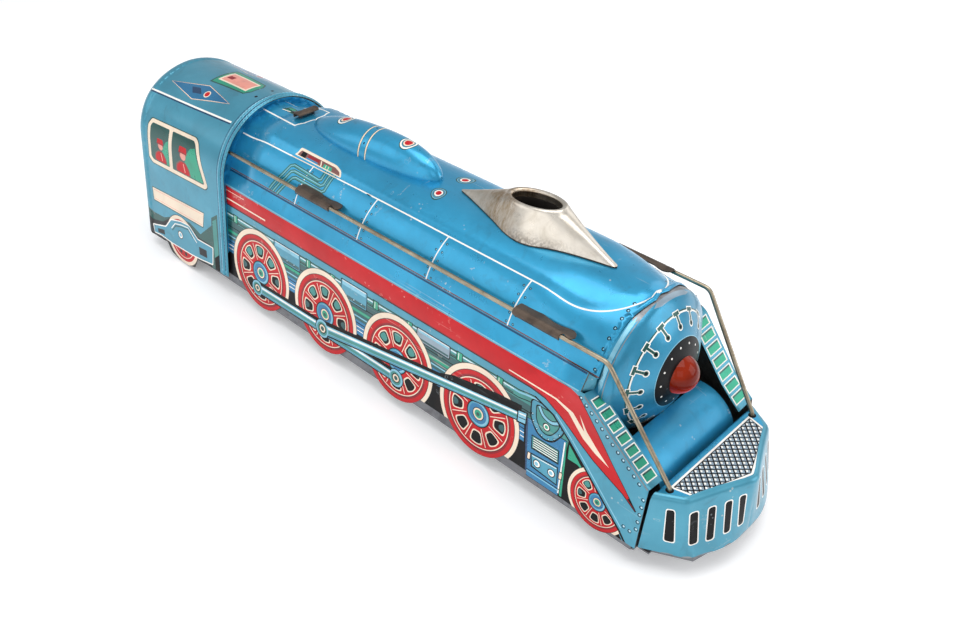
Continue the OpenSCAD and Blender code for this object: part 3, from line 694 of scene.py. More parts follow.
ink("blue", (46, 156, 199), 0.60, (0.26, 0.38), 0.30, 0.45)
ink("blue_side", (70, 148, 172), 0.50, (0.28, 0.42), 0.30, 0.45)
ink("blue_pale", (128, 190, 212), 0.45, (0.26, 0.40), 0.30, 0.35)
ink("blue_deep", (20, 62, 100), 0.45, (0.24, 0.38), 0.35, 0.40, wear_rgb=(150, 190, 210))
ink("blue_mid", (38, 118, 164), 0.55, (0.24, 0.38), 0.35, 0.40)
ink("blue_cap", (48, 142, 178), 0.55, (0.26, 0.38), 0.30, 0.45)
ink("blue_roll", (46, 150, 192), 0.45, (0.36, 0.48), 0.12, 0.45)
ink("teal", (58, 138, 132), 0.45, (0.26, 0.40), 0.30, 0.45)
ink("teal_dark", (28, 84, 86), 0.4, (0.26, 0.40), 0.30, 0.45)
ink("green", (18, 156, 122), 0.35, (0.24, 0.38), 0.30, 0.35)
ink("green_dark", (14, 78, 72), 0.35, (0.24, 0.38), 0.30, 0.35)
ink("red", (194, 24, 30), 0.15, (0.28, 0.44), 0.06, 0.50, spec=0.2, wear_rgb=(240, 216, 200), dirt_rgb=(120, 24, 30))
ink("red_dark", (142, 22, 32), 0.15, (0.26, 0.42), 0.10, 0.45, spec=0.25)
ink("cream", (238, 218, 194), 0.0, (0.28, 0.44), 0.20, 0.25, wear_rgb=(170, 140, 110), dirt_rgb=(200, 165, 130))
ink("white", (246, 242, 234), 0.0, (0.28, 0.44), 0.20, 0.2, wear_rgb=(180, 160, 140), dirt_rgb=(205, 190, 170), dirt=0.25)
ink("black", (13, 13, 15), 0.0, (0.30, 0.46), 0.05, 0.40, wear_rgb=(150, 160, 164), dirt_rgb=(50, 36, 30), spec=0.12)
ink("dark", (30, 30, 33), 0.1, (0.30, 0.46), 0.06, 0.40, wear_rgb=(140, 150, 158), spec=0.3)
ink("brown_ink", (112, 58, 50), 0.15, (0.25, 0.4), 0.4, 0.4)
ink("grey_blue", (138, 158, 172), 0.35, (0.26, 0.42), 0.4, 0.5, wear_rgb=(215, 210, 200))
ink("pink", (236, 150, 132), 0.1, (0.26, 0.42), 0.4, 0.4)
metal("bare_grey", (150, 152, 154), (104, 104, 106), 0.85, (0.3, 0.5), 0.5, (96, 84, 74))
metal("tin_edge", (120, 104, 90), (70, 58, 48), 0.9, (0.35, 0.55), 0.6)
metal("tin_back", (150, 150, 146), (112, 110, 106), 0.9, (0.32, 0.5), 0.35, (110, 90, 70))
metal("nickel", (226, 218, 206), (196, 186, 170), 1.0, (0.24, 0.40), 0.22, (132, 110, 86), None, 0.06, 120.0, plate=True)
# painted shade: near-black metal for the hole of the stack, its inner walls and the floor that closes it
metal("stack_hole_shade", (44, 38, 34), (22, 20, 18), 0.5, (0.5, 0.75), 0.5, (70, 50, 36))
metal("wire", (180, 168, 146), (118, 102, 82), 1.0, (0.22, 0.42), 0.5, (84, 62, 42), None, 0.10, 260.0)
metal("brown_tin", (104, 90, 78), (62, 52, 46), 0.7, (0.38, 0.6), 0.7, (52, 38, 30), None, 0.16, 240.0)
metal("dark_tin", (72, 74, 80), (44, 44, 48), 0.5, (0.4, 0.62), 0.5, (84, 66, 50), None, 0.10, 110.0)
metal("base_tin", (128, 130, 134), (82, 82, 86), 0.6, (0.36, 0.56), 0.5, (92, 74, 58), None, 0.10, 110.0)
metal("steel", (176, 176, 172), (128, 126, 120), 1.0, (0.24, 0.42), 0.35, (96, 74, 54), (500, 20, 20), 0.06, 150.0)
metal("brass", (206, 168, 92), (150, 112, 56), 1.0, (0.22, 0.40), 0.35, (96, 70, 38), None, 0.08, 180.0)
metal("wheel_tin", (58, 58, 62), (34, 34, 38), 0.4, (0.36, 0.58), 0.5, (96, 74, 56), None, 0.10, 130.0)
metal("cell_jacket", (176, 140, 62), (138, 104, 44), 0.5, (0.32, 0.5), 0.3, (96, 72, 36), None, 0.05, 90.0)
metal("rubber", (40, 39, 38), (26, 25, 25), 0.0, (0.6, 0.85), 0.4, (66, 62, 58), (20, 700, 20), 0.2, 220.0)
metal("black_plastic", (30, 30, 32), (20, 20, 22), 0.0, (0.42, 0.62), 0.3, (60, 56, 52), None, 0.08, 260.0)
lens_material("red_lens")
glass_material("bulb_glass")


# ------------------------------------------------------------------ mesh tools
MM = 0.001


def circle(cx, cy, r, n=None, a0=0.0, ry=None):
    n = n or max(10, min(96, int(12 + r * 4)))
    ry = r if ry is None else ry
    return [(cx + r * math.cos(a0 + 2 * math.pi * i / n), cy + ry * math.sin(a0 + 2 * math.pi * i / n)) for i in range(n)]


def arc_pts(cx, cy, r, a0, a1, n=24):
    return [(cx + r * math.cos(math.radians(a0 + (a1 - a0) * i / n)), cy + r * math.sin(math.radians(a0 + (a1 - a0) * i / n))) for i in range(n + 1)]


def rounded(points, r, n=4):
    """Closed polygon with rounded corners."""
    out = []
    k = len(points)
    for i in range(k):
        a, b, c = np.array(points[i - 1], float), np.array(points[i], float), np.array(points[(i + 1) % k], float)
        d1, d2 = (a - b), (c - b)
        l1, l2 = np.linalg.norm(d1), np.linalg.norm(d2)
        d1, d2 = d1 / l1, d2 / l2
        cut = min(r, l1 * 0.45, l2 * 0.45)
        p0, p2 = b + d1 * cut, b + d2 * cut
        for j in range(n + 1):
            t = j / n
            q = (1 - t) ** 2 * p0 + 2 * t * (1 - t) * b + t * t * p2
            out.append((float(q[0]), float(q[1])))
    return out


def curve_through(points, n=8):
    """Smooth open line through points."""
    p = [np.array(q, float) for q in points]
    p = [2 * p[0] - p[1]] + p + [2 * p[-1] - p[-2]]
    out = []
    for i in range(1, len(p) - 2):
        for j in range(n):
            t = j / n
            q = 0.5 * ((2 * p[i]) + (-p[i - 1] + p[i + 1]) * t + (2 * p[i - 1] - 5 * p[i] + 4 * p[i + 1] - p[i + 2]) * t * t
                       + (-p[i - 1] + 3 * p[i] - 3 * p[i + 1] + p[i + 2]) * t ** 3)
            out.append((float(q[0]), float(q[1])))
    out.append((float(p[-2][0]), float(p[-2][1])))
    return out


def stroke(points, w, closed=False, w1=None):
    """Line of width w (w1 at the far end) as a list of quads."""
    p = np.array(points, float)
    n = len(p)
    seg = np.roll(p, -1, 0) - p
    if not closed:
        seg = seg[:-1]
    ln = np.linalg.norm(seg, axis=1)
    d = seg / np.maximum(ln[:, None], 1e-9)
    nr = np.stack([-d[:, 1], d[:, 0]], 1)
    left, right = [], []
    for i in range(n):
        if closed:
            a, b = nr[i - 1], nr[i]
        else:
            a, b = nr[max(0, i - 1)], nr[min(i, n - 2)]
        m = a + b
        m = m / max(np.linalg.norm(m), 1e-6)
        k = 1.0 / max(0.45, float(m @ b))
        ww = w if w1 is None else w + (w1 - w) * i / (n - 1)
        left.append(p[i] + m * k * ww / 2)
        right.append(p[i] - m * k * ww / 2)
    quads = []
    for i in range(n if closed else n - 1):
        j = (i + 1) % n
        quads.append([tuple(right[i]), tuple(right[j]), tuple(left[j]), tuple(left[i])])
    return quads


def area2(poly):
    return sum(poly[i - 1][0] * poly[i][1] - poly[i][0] * poly[i - 1][1] for i in range(len(poly)))


class Sheet:
    """Printed tin sheet: a flat layout of ink areas, folded into shape by a map."""

    def __init__(self, name, outline, base, fmap, step=(3.0, 3.0), t=0.55, back="tin_back", edge="tin_edge", outside=1):
        self.name, self.map, self.step, self.t = name, fmap, step, t
        self.items = [(base, [tuple(p) for p in outline])]
        self.back, self.edge, self.outside = back, edge, outside
        self.steiner = []
        self.lines = []

    def poly(self, ink_name, pts):
        pts = [tuple(map(float, p)) for p in pts]
        clean = []
        for p in pts:
            if not clean or abs(p[0] - clean[-1][0]) + abs(p[1] - clean[-1][1]) > 1e-4:
                clean.append(p)
        if len(clean) > 2 and abs(clean[0][0] - clean[-1][0]) + abs(clean[0][1] - clean[-1][1]) < 1e-4:
            clean.pop()
        if len(clean) > 2 and abs(area2(clean)) > 1e-5:
            self.items.append((ink_name, clean))

    def line(self, ink_name, pts, w, closed=False, w1=None):
        for q in stroke(pts, w, closed, w1):
            self.poly(ink_name, q)

    def disc(self, ink_name, x, y, r, n=None, ry=None):
        self.poly(ink_name, circle(x, y, r, n, 0.1, ry))

    def rivet(self, x, y, r=0.8, dark="black", mid="blue_pale"):
        self.disc(dark, x, y, r, 12)
        self.disc(mid, x + 0.10 * r, y + 0.12 * r, r * 0.62, 10)
        self.disc("white", x + 0.2 * r, y + 0.25 * r, r * 0.28, 8)

    def target(self, x, y, r=2.0, inks=("black", "white", "blue_mid", "white")):
        for k, nm in enumerate(inks):
            self.disc(nm, x, y, r * (1 - k / len(inks)), 18)

    def build(self, body="train", replaces=()):
        sx, sy = self.step
        V, F = [], []
        index = {}

        def vid(p):
            key = (round(p[0], 4), round(p[1], 4))
            if key not in index:
                index[key] = len(V)
                V.append(key)
            return index[key]

        for nm, poly in self.items:
            if area2(poly) < 0:
                poly = poly[::-1]
            ids = []
            for i in range(len(poly)):
                a, b = poly[i], poly[(i + 1) % len(poly)]
                k = max(1, int(math.ceil(max(abs(b[0] - a[0]) / sx, abs(b[1] - a[1]) / sy))))
                for j in range(k):
                    t = j / k
                    q = vid((a[0] + (b[0] - a[0]) * t, a[1] + (b[1] - a[1]) * t))
                    if not ids or ids[-1] != q:
                        ids.append(q)
            if len(ids) > 1 and ids[0] == ids[-1]:
                ids.pop()
            F.append(ids if len(set(ids)) > 2 else ids)
        out = np.array(self.items[0][1])
        x0, y0 = out.min(0)
        x1, y1 = out.max(0)
        cells = set((int(p[0] / (sx * 0.34)), int(p[1] / (sy * 0.34))) for p in V)
        extra = list(self.steiner)
        nx, ny = int((x1 - x0) / sx), int((y1 - y0) / sy)
        for i in range(nx + 1):
            for j in range(ny + 1):
                p = (x0 + (i + 0.5 * (j % 2)) * sx + 0.013, y0 + j * sy + 0.017)
                c = (int(p[0] / (sx * 0.34)), int(p[1] / (sy * 0.34)))
                if c not in cells:
                    extra.append(p)
        for p in extra:
            vid(p)
        faces_in = [f for f in F]
        res = delaunay_2d_cdt([Vector(p) for p in V], [], faces_in, 0, 1e-5)
        rv, _, rf, _, _, of = res
        P2 = np.array([(p[0], p[1]) for p in rv])
        tris, inks = [], []
        for f, src in zip(rf, of):
            if 0 not in src:
                continue
            nm = self.items[max(src)][0]
            if nm == "HOLE":
                continue
            tris.append(tuple(f))
            inks.append(nm)
        T = np.array(tris)
        a, b, c = P2[T[:, 0]], P2[T[:, 1]], P2[T[:, 2]]
        ar = (b[:, 0] - a[:, 0]) * (c[:, 1] - a[:, 1]) - (c[:, 0] - a[:, 0]) * (b[:, 1] - a[:, 1])
        flip = ar < 0
        T[flip] = T[flip][:, ::-1]
        used = np.unique(T)
        remap = -np.ones(len(P2), int)
        remap[used] = np.arange(len(used))
        T = remap[T]
        P2 = P2[used]
        h = 0.02
        top = self.map(P2[:, 0], P2[:, 1])
        du = self.map(P2[:, 0] + h, P2[:, 1]) - self.map(P2[:, 0] - h, P2[:, 1])
        dv = self.map(P2[:, 0], P2[:, 1] + h) - self.map(P2[:, 0], P2[:, 1] - h)
        nrm = np.cross(du, dv) * self.outside
        ln = np.linalg.norm(nrm, axis=1)
        nrm = nrm / np.maximum(ln[:, None], 1e-12)
        bot = top - nrm * self.t
        n = len(P2)
        verts = np.vstack([top, bot]) * MM
        if self.outside < 0:
            T = T[:, ::-1]
        edges = {}
        for t in T:
            for i in range(3):
                e = (int(t[i]), int(t[(i + 1) % 3]))
                edges[e] = edges.get(e, 0) + 1
        rim = [e for e in edges if (e[1], e[0]) not in edges]
        faces = [tuple(map(int, t)) for t in T] + [(int(t[2]) + n, int(t[1]) + n, int(t[0]) + n) for t in T] + [(b2, a2, a2 + n, b2 + n) for a2, b2 in rim]
        names = inks + [self.back] * len(T) + [self.edge] * len(rim)
        ob = make_object(self.name, verts, faces, names)
        me = ob.data
        # exact shading normals of the folded surface
        ln_ = np.zeros((len(me.loops), 3))
        vi = np.zeros(len(me.loops), int)
        me.loops.foreach_get("vertex_index", vi)
        ls = np.zeros(len(me.polygons), int)
        me.polygons.foreach_get("loop_start", ls)
        nt = len(T)
        fl = np.repeat(np.arange(len(me.polygons)), [len(f) for f in faces])
        full = np.vstack([nrm, -nrm])
        ln_[:] = full[vi]
        wall = fl >= 2 * nt
        pn = np.zeros(len(me.polygons) * 3)
        me.polygons.foreach_get("normal", pn)
        ln_[wall] = pn.reshape(-1, 3)[fl[wall]]
        me.normals_split_custom_set([tuple(q) for q in ln_])
        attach(ob, body)
        if replaces:
            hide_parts(*replaces)
        return ob


def make_object(name, verts, faces, names, smooth_all=True):
    me = bpy.data.meshes.new(name)
    me.from_pydata([tuple(map(float, v)) for v in verts], [], [tuple(f) for f in faces])
    order = []
    for nm in names:
        if nm not in order:
            order.append(nm)
    for nm in order:
        me.materials.append(MATS[nm])
    ix = {nm: i for i, nm in enumerate(order)}
    me.polygons.foreach_set("material_index", [ix[nm] for nm in names])
    if smooth_all:
        me.polygons.foreach_set("use_smooth", [True] * len(me.polygons))
    me.update()
    ob = bpy.data.objects.new(name, me)
    bpy.context.scene.collection.objects.link(ob)
    return ob


def solid(name, verts, faces, names, body="train", replaces=(), angle=35.0):
    """Closed mesh with smooth shading broken at sharp angles; verts in mm."""
    ob = make_object(name, np.array(verts, float) * MM, faces, names)
    ob.data.set_sharp_from_angle(angle=math.radians(angle))
    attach(ob, body)
    if replaces:
        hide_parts(*replaces)
    return ob


class Bag:
    """Collects closed pieces into one mesh."""

    def __init__(self):
        self.v, self.f, self.n = [], [], []

    def add(self, verts, faces, names):
        o = len(self.v)
        self.v += [tuple(map(float, p)) for p in verts]
        self.f += [tuple(int(i) + o for i in f) for f in faces]
        self.n += [names] * len(faces) if isinstance(names, str) else list(names)

    def build(self, name, body="train", replaces=(), angle=35.0):
        return solid(name, self.v, self.f, self.n, body, replaces, angle)


def tube(points, r, n=14, cap=True):
    """Swept round wire through 3-D points."""
    p = [Vector(q) for q in points]
    verts, faces = [], []
    t0 = (p[1] - p[0]).normalized()
    ref = Vector((0, 0, 1)) if abs(t0.z) < 0.9 else Vector((1, 0, 0))
    u = t0.cross(ref).normalized()
    for i, q in enumerate(p):
        t = (p[min(i + 1, len(p) - 1)] - p[max(i - 1, 0)]).normalized()
        u = (u - t * u.dot(t)).normalized()
        w = t.cross(u)
        rr = r[i] if isinstance(r, (list, tuple)) else r
        for k in range(n):
            a = 2 * math.pi * k / n
            verts.append(tuple(q + (u * math.cos(a) + w * math.sin(a)) * rr))
    for i in range(len(p) - 1):
        for k in range(n):
            a, b = i * n + k, i * n + (k + 1) % n
            faces.append((a, b, b + n, a + n))
    if cap:
        faces.append(tuple(range(n))[::-1])
        faces.append(tuple((len(p) - 1) * n + k for k in range(n)))
    return verts, faces


def bend(points, radius, step=0.5):
    """3-D polyline with rounded corners."""
    p = [Vector(q) for q in points]
    out = [p[0]]
    for i in range(1, len(p) - 1):
        a, b, c = p[i - 1], p[i], p[i + 1]
        d1, d2 = (a - b).normalized(), (c - b).normalized()
        ang = d1.angle(d2)
        turn = math.pi - ang
        r = radius[i - 1] if isinstance(radius, (list, tuple)) else radius
        cut = r * math.tan(turn / 2)
        p0, p1 = b + d1 * cut, b + d2 * cut
        cen = b + (d1 + d2).normalized() * (r / math.cos(turn / 2))
        k = max(5, int(turn * r / step))
        v0, v1 = p0 - cen, p1 - cen
        ax = v0.cross(v1).normalized()
        for j in range(k + 1):
            out.append(cen + Matrix.Rotation(turn * j / k, 3, ax) @ v0)
    out.append(p[-1])
    return out


def lathe(profile, origin, axis="X", n=48):
    """Closed solid of revolution from (radius, along) points; the line starts and ends on the axis or closes on itself."""
    verts, faces = [], []
    rows = []
    for r, a in profile:
        if r < 1e-6:
            rows.append([len(verts)])
            verts.append((r, a, 0.0))
        else:
            row = []
            for k in range(n):
                t = 2 * math.pi * k / n
                row.append(len(verts))
                verts.append((r * math.cos(t), a, r * math.sin(t)))
            rows.append(row)
    for i in range(len(rows) - 1):
        A, B = rows[i], rows[i + 1]
        for k in range(n):
            j = (k + 1) % n
            if len(A) == 1 and len(B) == 1:
                continue
            if len(A) == 1:
                faces.append((A[0], B[k], B[j]))
            elif len(B) == 1:
                faces.append((A[k], B[0], A[j]))
            else:
                faces.append((A[k], B[k], B[j], A[j]))
    out = []
    for x, a, z in verts:
        if axis == "X":
            out.append((origin[0] + a, origin[1] + x, origin[2] + z))
        elif axis == "Z":
            out.append((origin[0] + x, origin[1] - z, origin[2] + a))
        else:
            out.append((origin[0] + z, origin[1] + a, origin[2] + x))
    return out, faces


def oriented(verts, faces):
    """Turn all faces so that the enclosed volume is positive."""
    vol = 0.0
    for f in faces:
        a = Vector(verts[f[0]])
        for i in range(1, len(f) - 1):
            vol += a.dot(Vector(verts[f[i]]).cross(Vector(verts[f[i + 1]])))
    return (verts, faces) if vol > 0 else (verts, [tuple(f[::-1]) for f in faces])


# ------------------------------------------------------------------ side sheets
WHEELS = [-82.7 + 53.0 * i for i in range(4)]


def wheel_print(S, cx, cy, R, k, small=False):
    """Spoked wheel as drawn on the sheet; k scales the details."""
    S.disc("dark", cx, cy + 0.5 * k, R + 2.95 * k, 72)
    S.disc("cream", cx, cy + 0.45 * k, R + 2.65 * k, 72)
    S.disc("dark", cx, cy, R + 0.35 * k, 72)
    S.disc("red", cx, cy, R, 72)
    S.line("red_dark", circle(cx, cy, 18.9 * k, 56), 0.8 * k, True)
    S.line("dark", circle(cx, cy, 18.25 * k, 56), 0.35 * k, True)
    S.line("cream", circle(cx, cy, 17.75 * k, 56), 0.5 * k, True)
    for j in range(8):
        a = math.radians(45 * j + 2)
        # cut-out between two spokes
        def tr(r, b):
            return (cx + r * k * math.cos(a + math.radians(b)), cy + r * k * math.sin(a + math.radians(b)))
        def win(r0, r1, b0, b1):
            return rounded([tr(r0, -b0), tr(r1, -b1), tr(r1 + 0.5, 0), tr(r1, b1), tr(r0, b0)], 1.5 * k, 3)
        S.poly("cream", win(9.2, 16.0, 15.5, 15.0))
        S.poly("black", win(9.8, 15.4, 12.2, 12.8))
        if math.sin(a) > 0.25:
            S.poly("teal", win(11.0, 14.9, 8.0, 9.5))
        elif math.sin(a) > -0.5:
            S.poly("teal_dark", win(12.3, 15.0, 4.5, 8.5))
        b = a + math.radians(22.5)
        for sgn, nm in ((-1, "cream"), (1, "red_dark")):
            o = (-math.sin(b) * 0.42 * sgn * k, math.cos(b) * 0.42 * sgn * k)
            S.line(nm, [(cx + math.cos(b) * 7.4 * k + o[0], cy + math.sin(b) * 7.4 * k + o[1]),
                        (cx + math.cos(b) * 16.6 * k + o[0], cy + math.sin(b) * 16.6 * k + o[1])], 0.42 * k)
    S.disc("black", cx, cy, 6.9 * k, 40)
    S.disc("blue_side", cx, cy, 6.35 * k, 40)
    S.disc("blue_pale", cx + 0.35 * k, cy, 5.7 * k, 36)
    S.disc("blue_mid", cx - 0.25 * k, cy + 0.1 * k, 5.2 * k, 36)
    S.disc("black", cx, cy, 3.4 * k, 28)
    S.disc("cream", cx, cy, 3.0 * k, 28)
    S.disc("green", cx, cy, 2.2 * k, 24)
    S.disc("green_dark", cx - 0.2 * k, cy - 0.2 * k, 1.0 * k, 16)


def rod(S, p0, p1, w0, w1, eye0=0.0, eye1=0.0, shadow=True):
    """Side rod with ends, highlights and a shadow line along its upper edge."""
    a, b = np.array(p0, float), np.array(p1, float)
    d = (b - a) / np.linalg.norm(b - a)
    n = np.array([-d[1], d[0]])
    def strip(nm, f0, f1, grow=0.0):
        S.poly(nm, [a - d * grow + n * w0 * f0, b + d * grow + n * w1 * f0, b + d * grow + n * w1 * f1, a - d * grow + n * w0 * f1])
    if shadow:
        strip("black", 0.5, 0.86)
    for c, r in ((a, eye0), (b, eye1)):
        if r:
            S.disc("black", c[0], c[1], r + 0.55, 32)
            S.disc("blue_pale", c[0], c[1], r, 32)
    strip("black", -0.60, 0.58)
    strip("blue_pale", -0.46, 0.46)
    strip("white", 0.16, 0.34)
    strip("teal", -0.26, 0.06)
    strip("blue_side", -0.44, -0.30)
    for c, r in ((a, eye0), (b, eye1)):
        if r:
            S.disc("blue_pale", c[0], c[1], r * 0.93, 32)
            S.disc("teal", c[0] - 0.2, c[1] - 0.2, r * 0.78, 28)
            S.disc("black", c[0], c[1], r * 0.56, 24)
            S.disc("cream", c[0], c[1], r * 0.44, 20)
            S.disc("green_dark", c[0], c[1], r * 0.26, 16)


def box_print(S, x0, v0, x1, v1, body="blue_side", top="blue_pale", low="teal_dark", skew=0.0):
    S.poly("black", rounded([(x0 - 0.5, v0 - 0.5), (x1 + 0.5 + skew, v0 - 0.5), (x1 + 0.5, v1 + 0.5), (x0 - 0.5, v1 + 0.5)], 0.8))
    S.poly(body, rounded([(x0, v0), (x1 + skew, v0), (x1, v1), (x0, v1)], 0.7))
    h = v1 - v0
    S.poly(top, [(x0 + 0.7, v1 - 0.28 * h), (x1 - 0.7, v1 - 0.28 * h), (x1 - 0.7, v1 - 0.7), (x0 + 0.7, v1 - 0.7)])
    S.poly(low, [(x0 + 0.5, v0 + 0.5), (x1 - 0.5, v0 + 0.5), (x1 - 0.5, v0 + 0.25 * h), (x0 + 0.5, v0 + 0.25 * h)])
    S.line("white", [(x0 + 0.5, v1 - 0.4), (x1 - 0.5, v1 - 0.4)], 0.35)


def side_outline():
    pts = [(-117.8, -13.0)]
    for x in WHEELS:
        dx = math.sqrt(21.4 ** 2 - 13.0 ** 2)
        a0 = math.degrees(math.atan2(-13, -dx))
        pts += arc_pts(x, 0, 21.4, a0, -180 - a0 if False else math.degrees(math.atan2(-13, dx)), 26)
    pts += [(106.8, -13.0), (106.8, -15.2), (126.2, -15.2), (134.3, -15.4)]
    a0 = math.degrees(math.atan2(-10.0, -9.7))
    a1 = math.degrees(math.atan2(-10.4, 9.25))
    pts += arc_pts(144.1, -5.4, 13.9, a0, a1, 20)
    pts += [(165.2, -15.8), (165.2, 15.1)]
    B, A, t, n = DB, DA, DT, DN
    pts += [tuple(B + n * FLANGE), tuple(A + t * 4.0 + n * FLANGE), tuple(A + t * 0.8 + n * 7.0), tuple(A)]
    pts += [(126.6, 41.0), (126.5, 49.15), (-117.4, 49.15), (-117.8, 41.0)]
    return pts


def side_print(S):
    S.poly("blue", [(-117.2, 41.0), (126.3, 41.0), (126.3, 49.0), (-117.2, 49.0)])
    # machinery ground below the stripe
    S.poly("teal", [(-118, -24), (126, -24), (126, 25.6), (-118, 25.6)])
    S.poly("blue_side", [(-118, 25.4), (112, 25.4), (103, 29.4), (-118, 29.4)])
    for i in range(-1, 4):
        g = WHEELS[0] + 53 * (i + 0.5)
        S.poly("dark", [(g - 13, -16), (g + 13, -16), (g + 6.5, 9), (g - 6.5, 9)])
        S.poly("black", [(g - 12, -16), (g + 12, -16), (g + 4.5, 1), (g - 4.5, 1)])
        S.poly("teal_dark", [(g - 9, 9), (g + 9, 9), (g + 13, 20.5), (g - 13, 20.5)])
        S.line("blue_pale", [(g - 7, 11), (g + 7, 11)], 0.7)
        S.line("green", [(g - 9, 14.0), (g + 9, 14.0)], 1.5)
        S.line("black", [(g - 10, 17), (g + 10, 17)], 0.5)
        S.poly("blue_mid", [(g - 3.2, 1), (g + 3.2, 1), (g + 4.8, 9), (g - 4.8, 9)])
        S.line("white", [(g - 2.2, 3.2), (g + 2.2, 3.2)], 0.4)
        S.line("white", [(g - 3.0, 5.4), (g + 3.0, 5.4)], 0.4)
        S.line("black", [(g - 3.6, 7.4), (g + 3.6, 7.4)], 0.5)
    # long pipe under the stripe
    pipe = [(-116, 23.1), (97, 23.1), (103.5, 24.3), (109, 24.4), (113, 22.4), (115.2, 18.6), (115.8, 14)]
    pc = [(-116, 23.1), (94, 23.1)] + curve_through(pipe[1:], 5)
    S.line("black", pc, 4.2)
    S.line("teal", pc, 3.3)
    up = [(x, v + 0.75) for x, v in pc[:-8]]
    S.line("blue_pale", up, 0.9)
    S.line("white", [(-112, 24.0), (94, 24.0)], 0.35)
    S.line("green_dark", [(-116, 21.95), (94, 21.95)], 0.8)
    for x in (-104, -43, -24.5, 7, 30, 62, 86):
        S.poly("black", [(x - 2.0, 20.6), (x + 2.0, 20.6), (x + 2.0, 25.6), (x - 2.0, 25.6)])
        S.poly("green", [(x - 1.5, 21), (x + 1.5, 21), (x + 1.5, 25.2), (x - 1.5, 25.2)])
        S.line("white", [(x - 0.6, 21.4), (x - 0.6, 24.8)], 0.35)
    box_print(S, -70.6, 15.4, -50.0, 24.9)
    box_print(S, -17.7, 16.9, 0.5, 26.4)
    box_print(S, 35.2, 18.8, 55.9, 25.0, "grey_blue")
    for x in (-66, -60.3, -54.6):
        S.rivet(x, 17.2, 0.7)
    for x in (-14, -8.6, -3.2):
        S.rivet(x, 18.6, 0.7)
    for x in WHEELS:
        wheel_print(S, x, 0.0, 21.3, 1.0)
    # leading wheel, ground behind it
    S.poly("black", [(124.5, -17), (160, -17), (149.2, -5.4), (135.3, 7.1), (125.3, 15.6)])
    S.poly("green", [(126.4, 6.5), (131.5, 6.5), (136, 4.4), (126, 13.6)])
    wheel_print(S, 144.1, -5.4, 13.7, 0.64)
    # cylinder block
    blk = [(101.4, 14.5), (103.2, 0), (105.2, -14.2), (106.6, -16), (127.2, -16), (127.4, -13.4), (126.2, 2), (124.8, 14.6)]
    S.poly("black", blk)
    S.poly("blue_mid", [(102.4, 14.2), (104.2, 0), (106.2, -14.0), (107.4, -15), (124.6, -15), (124.6, 14.2)])
    S.poly("green", [(124.2, 14.0), (125.4, -14.4), (126.6, -14.4), (125.6, 2), (124.6, 14.0)])
    S.line("white", [(123.7, 13.4), (124.6, -13.6)], 0.7)
    S.poly("blue_deep", [(102.4, 14.2), (104.2, 0), (106.2, -14.0), (107.0, -14), (105.2, 0), (103.6, 14.2)])
    cap = rounded([(103.4, 25.0), (123.6, 25.4), (122.6, 16.2), (118.4, 9.6), (113.8, 7.8), (108.8, 9.2), (104.4, 15.0)], 2.4, 4)
    S.poly("black", cap)
    cap2 = rounded([(104.1, 24.6), (122.9, 24.9), (121.9, 16.4), (117.9, 10.4), (113.8, 8.7), (109.3, 9.9), (105.1, 15.2)], 2.2, 4)
    S.poly("blue_side", cap2)
    cap3 = rounded([(106.4, 23.6), (120.6, 23.8), (119.7, 16.9), (116.6, 12.2), (113.7, 10.9), (110.6, 11.9), (107.4, 16)], 2.0, 4)
    S.poly("black", cap3)
    S.poly("teal", rounded([(106.9, 23.1), (120.1, 23.3), (119.2, 17.0), (116.3, 12.7), (113.7, 11.5), (110.9, 12.4), (107.9, 16.2)], 1.8, 4))
    for q in ((105.4, 17.6), (106.3, 14.3), (108.7, 11.4), (111.6, 9.7), (115.2, 9.7), (118.1, 11.5), (120.4, 14.9), (121.4, 18.4)):
        S.rivet(q[0], q[1], 0.62)
    S.line("black", curve_through([(108.2, 23), (111.2, 19.6), (115.6, 18.6), (119.4, 20.4)], 5), 2.2)
    S.line("blue_pale", curve_through([(108.2, 23), (111.2, 19.6), (115.6, 18.6), (119.4, 20.4)], 5), 1.3)
    S.disc("black", 113.4, 15.1, 2.0, 24)
    S.disc("white", 113.4, 15.1, 1.5, 20)
    S.disc("green", 113.4, 15.1, 0.9, 16)
    S.poly("black", [(106.6, 7.2), (121.7, 7.6), (122.5, 0.5), (107.4, 0.0)])
    S.poly("teal", [(107.1, 6.7), (121.2, 7.1), (121.9, 1.1), (107.9, 0.6)])
    for j in range(5):
        S.line("white", [(107.8 + 0.12 * j, 6.0 - 1.15 * j), (121.0 + 0.12 * j, 6.3 - 1.15 * j)], 0.45)
        S.line("black", [(107.8 + 0.12 * j, 5.45 - 1.15 * j), (121.0 + 0.12 * j, 5.75 - 1.15 * j)], 0.3)
    S.poly("black", [(107.6, -2.1), (122.6, -0.8), (123.5, -10.5), (108.6, -9.2)])
    S.poly("blue_side", [(108.1, -2.7), (122.1, -1.4), (123.0, -9.8), (109.3, -8.5)])
    S.line("white", [(108.6, -3.2), (121.8, -2.0)], 0.35)
    for x in (111.6, 119.6):
        S.disc("black", x, -5.9, 2.1, 24)
        S.disc("white", x, -5.9, 1.65, 24)
        S.disc("blue_pale", x - 0.2, -6.0, 1.0, 18)
    for x in (106.8, 124.3):
        S.poly("black", rounded([(x - 1.0, -6.4), (x + 1.0, -6.4), (x + 1.0, -2.3), (x - 1.0, -2.3)], 0.5))
        S.poly("cream", rounded([(x - 0.65, -6.0), (x + 0.65, -6.0), (x + 0.65, -2.7), (x - 0.65, -2.7)], 0.4))
    S.line("black", [(106.5, -11.6), (124.8, -11.6)], 0.5)
    S.line("blue_pale", [(106.8, -12.4), (124.6, -12.4)], 0.6)
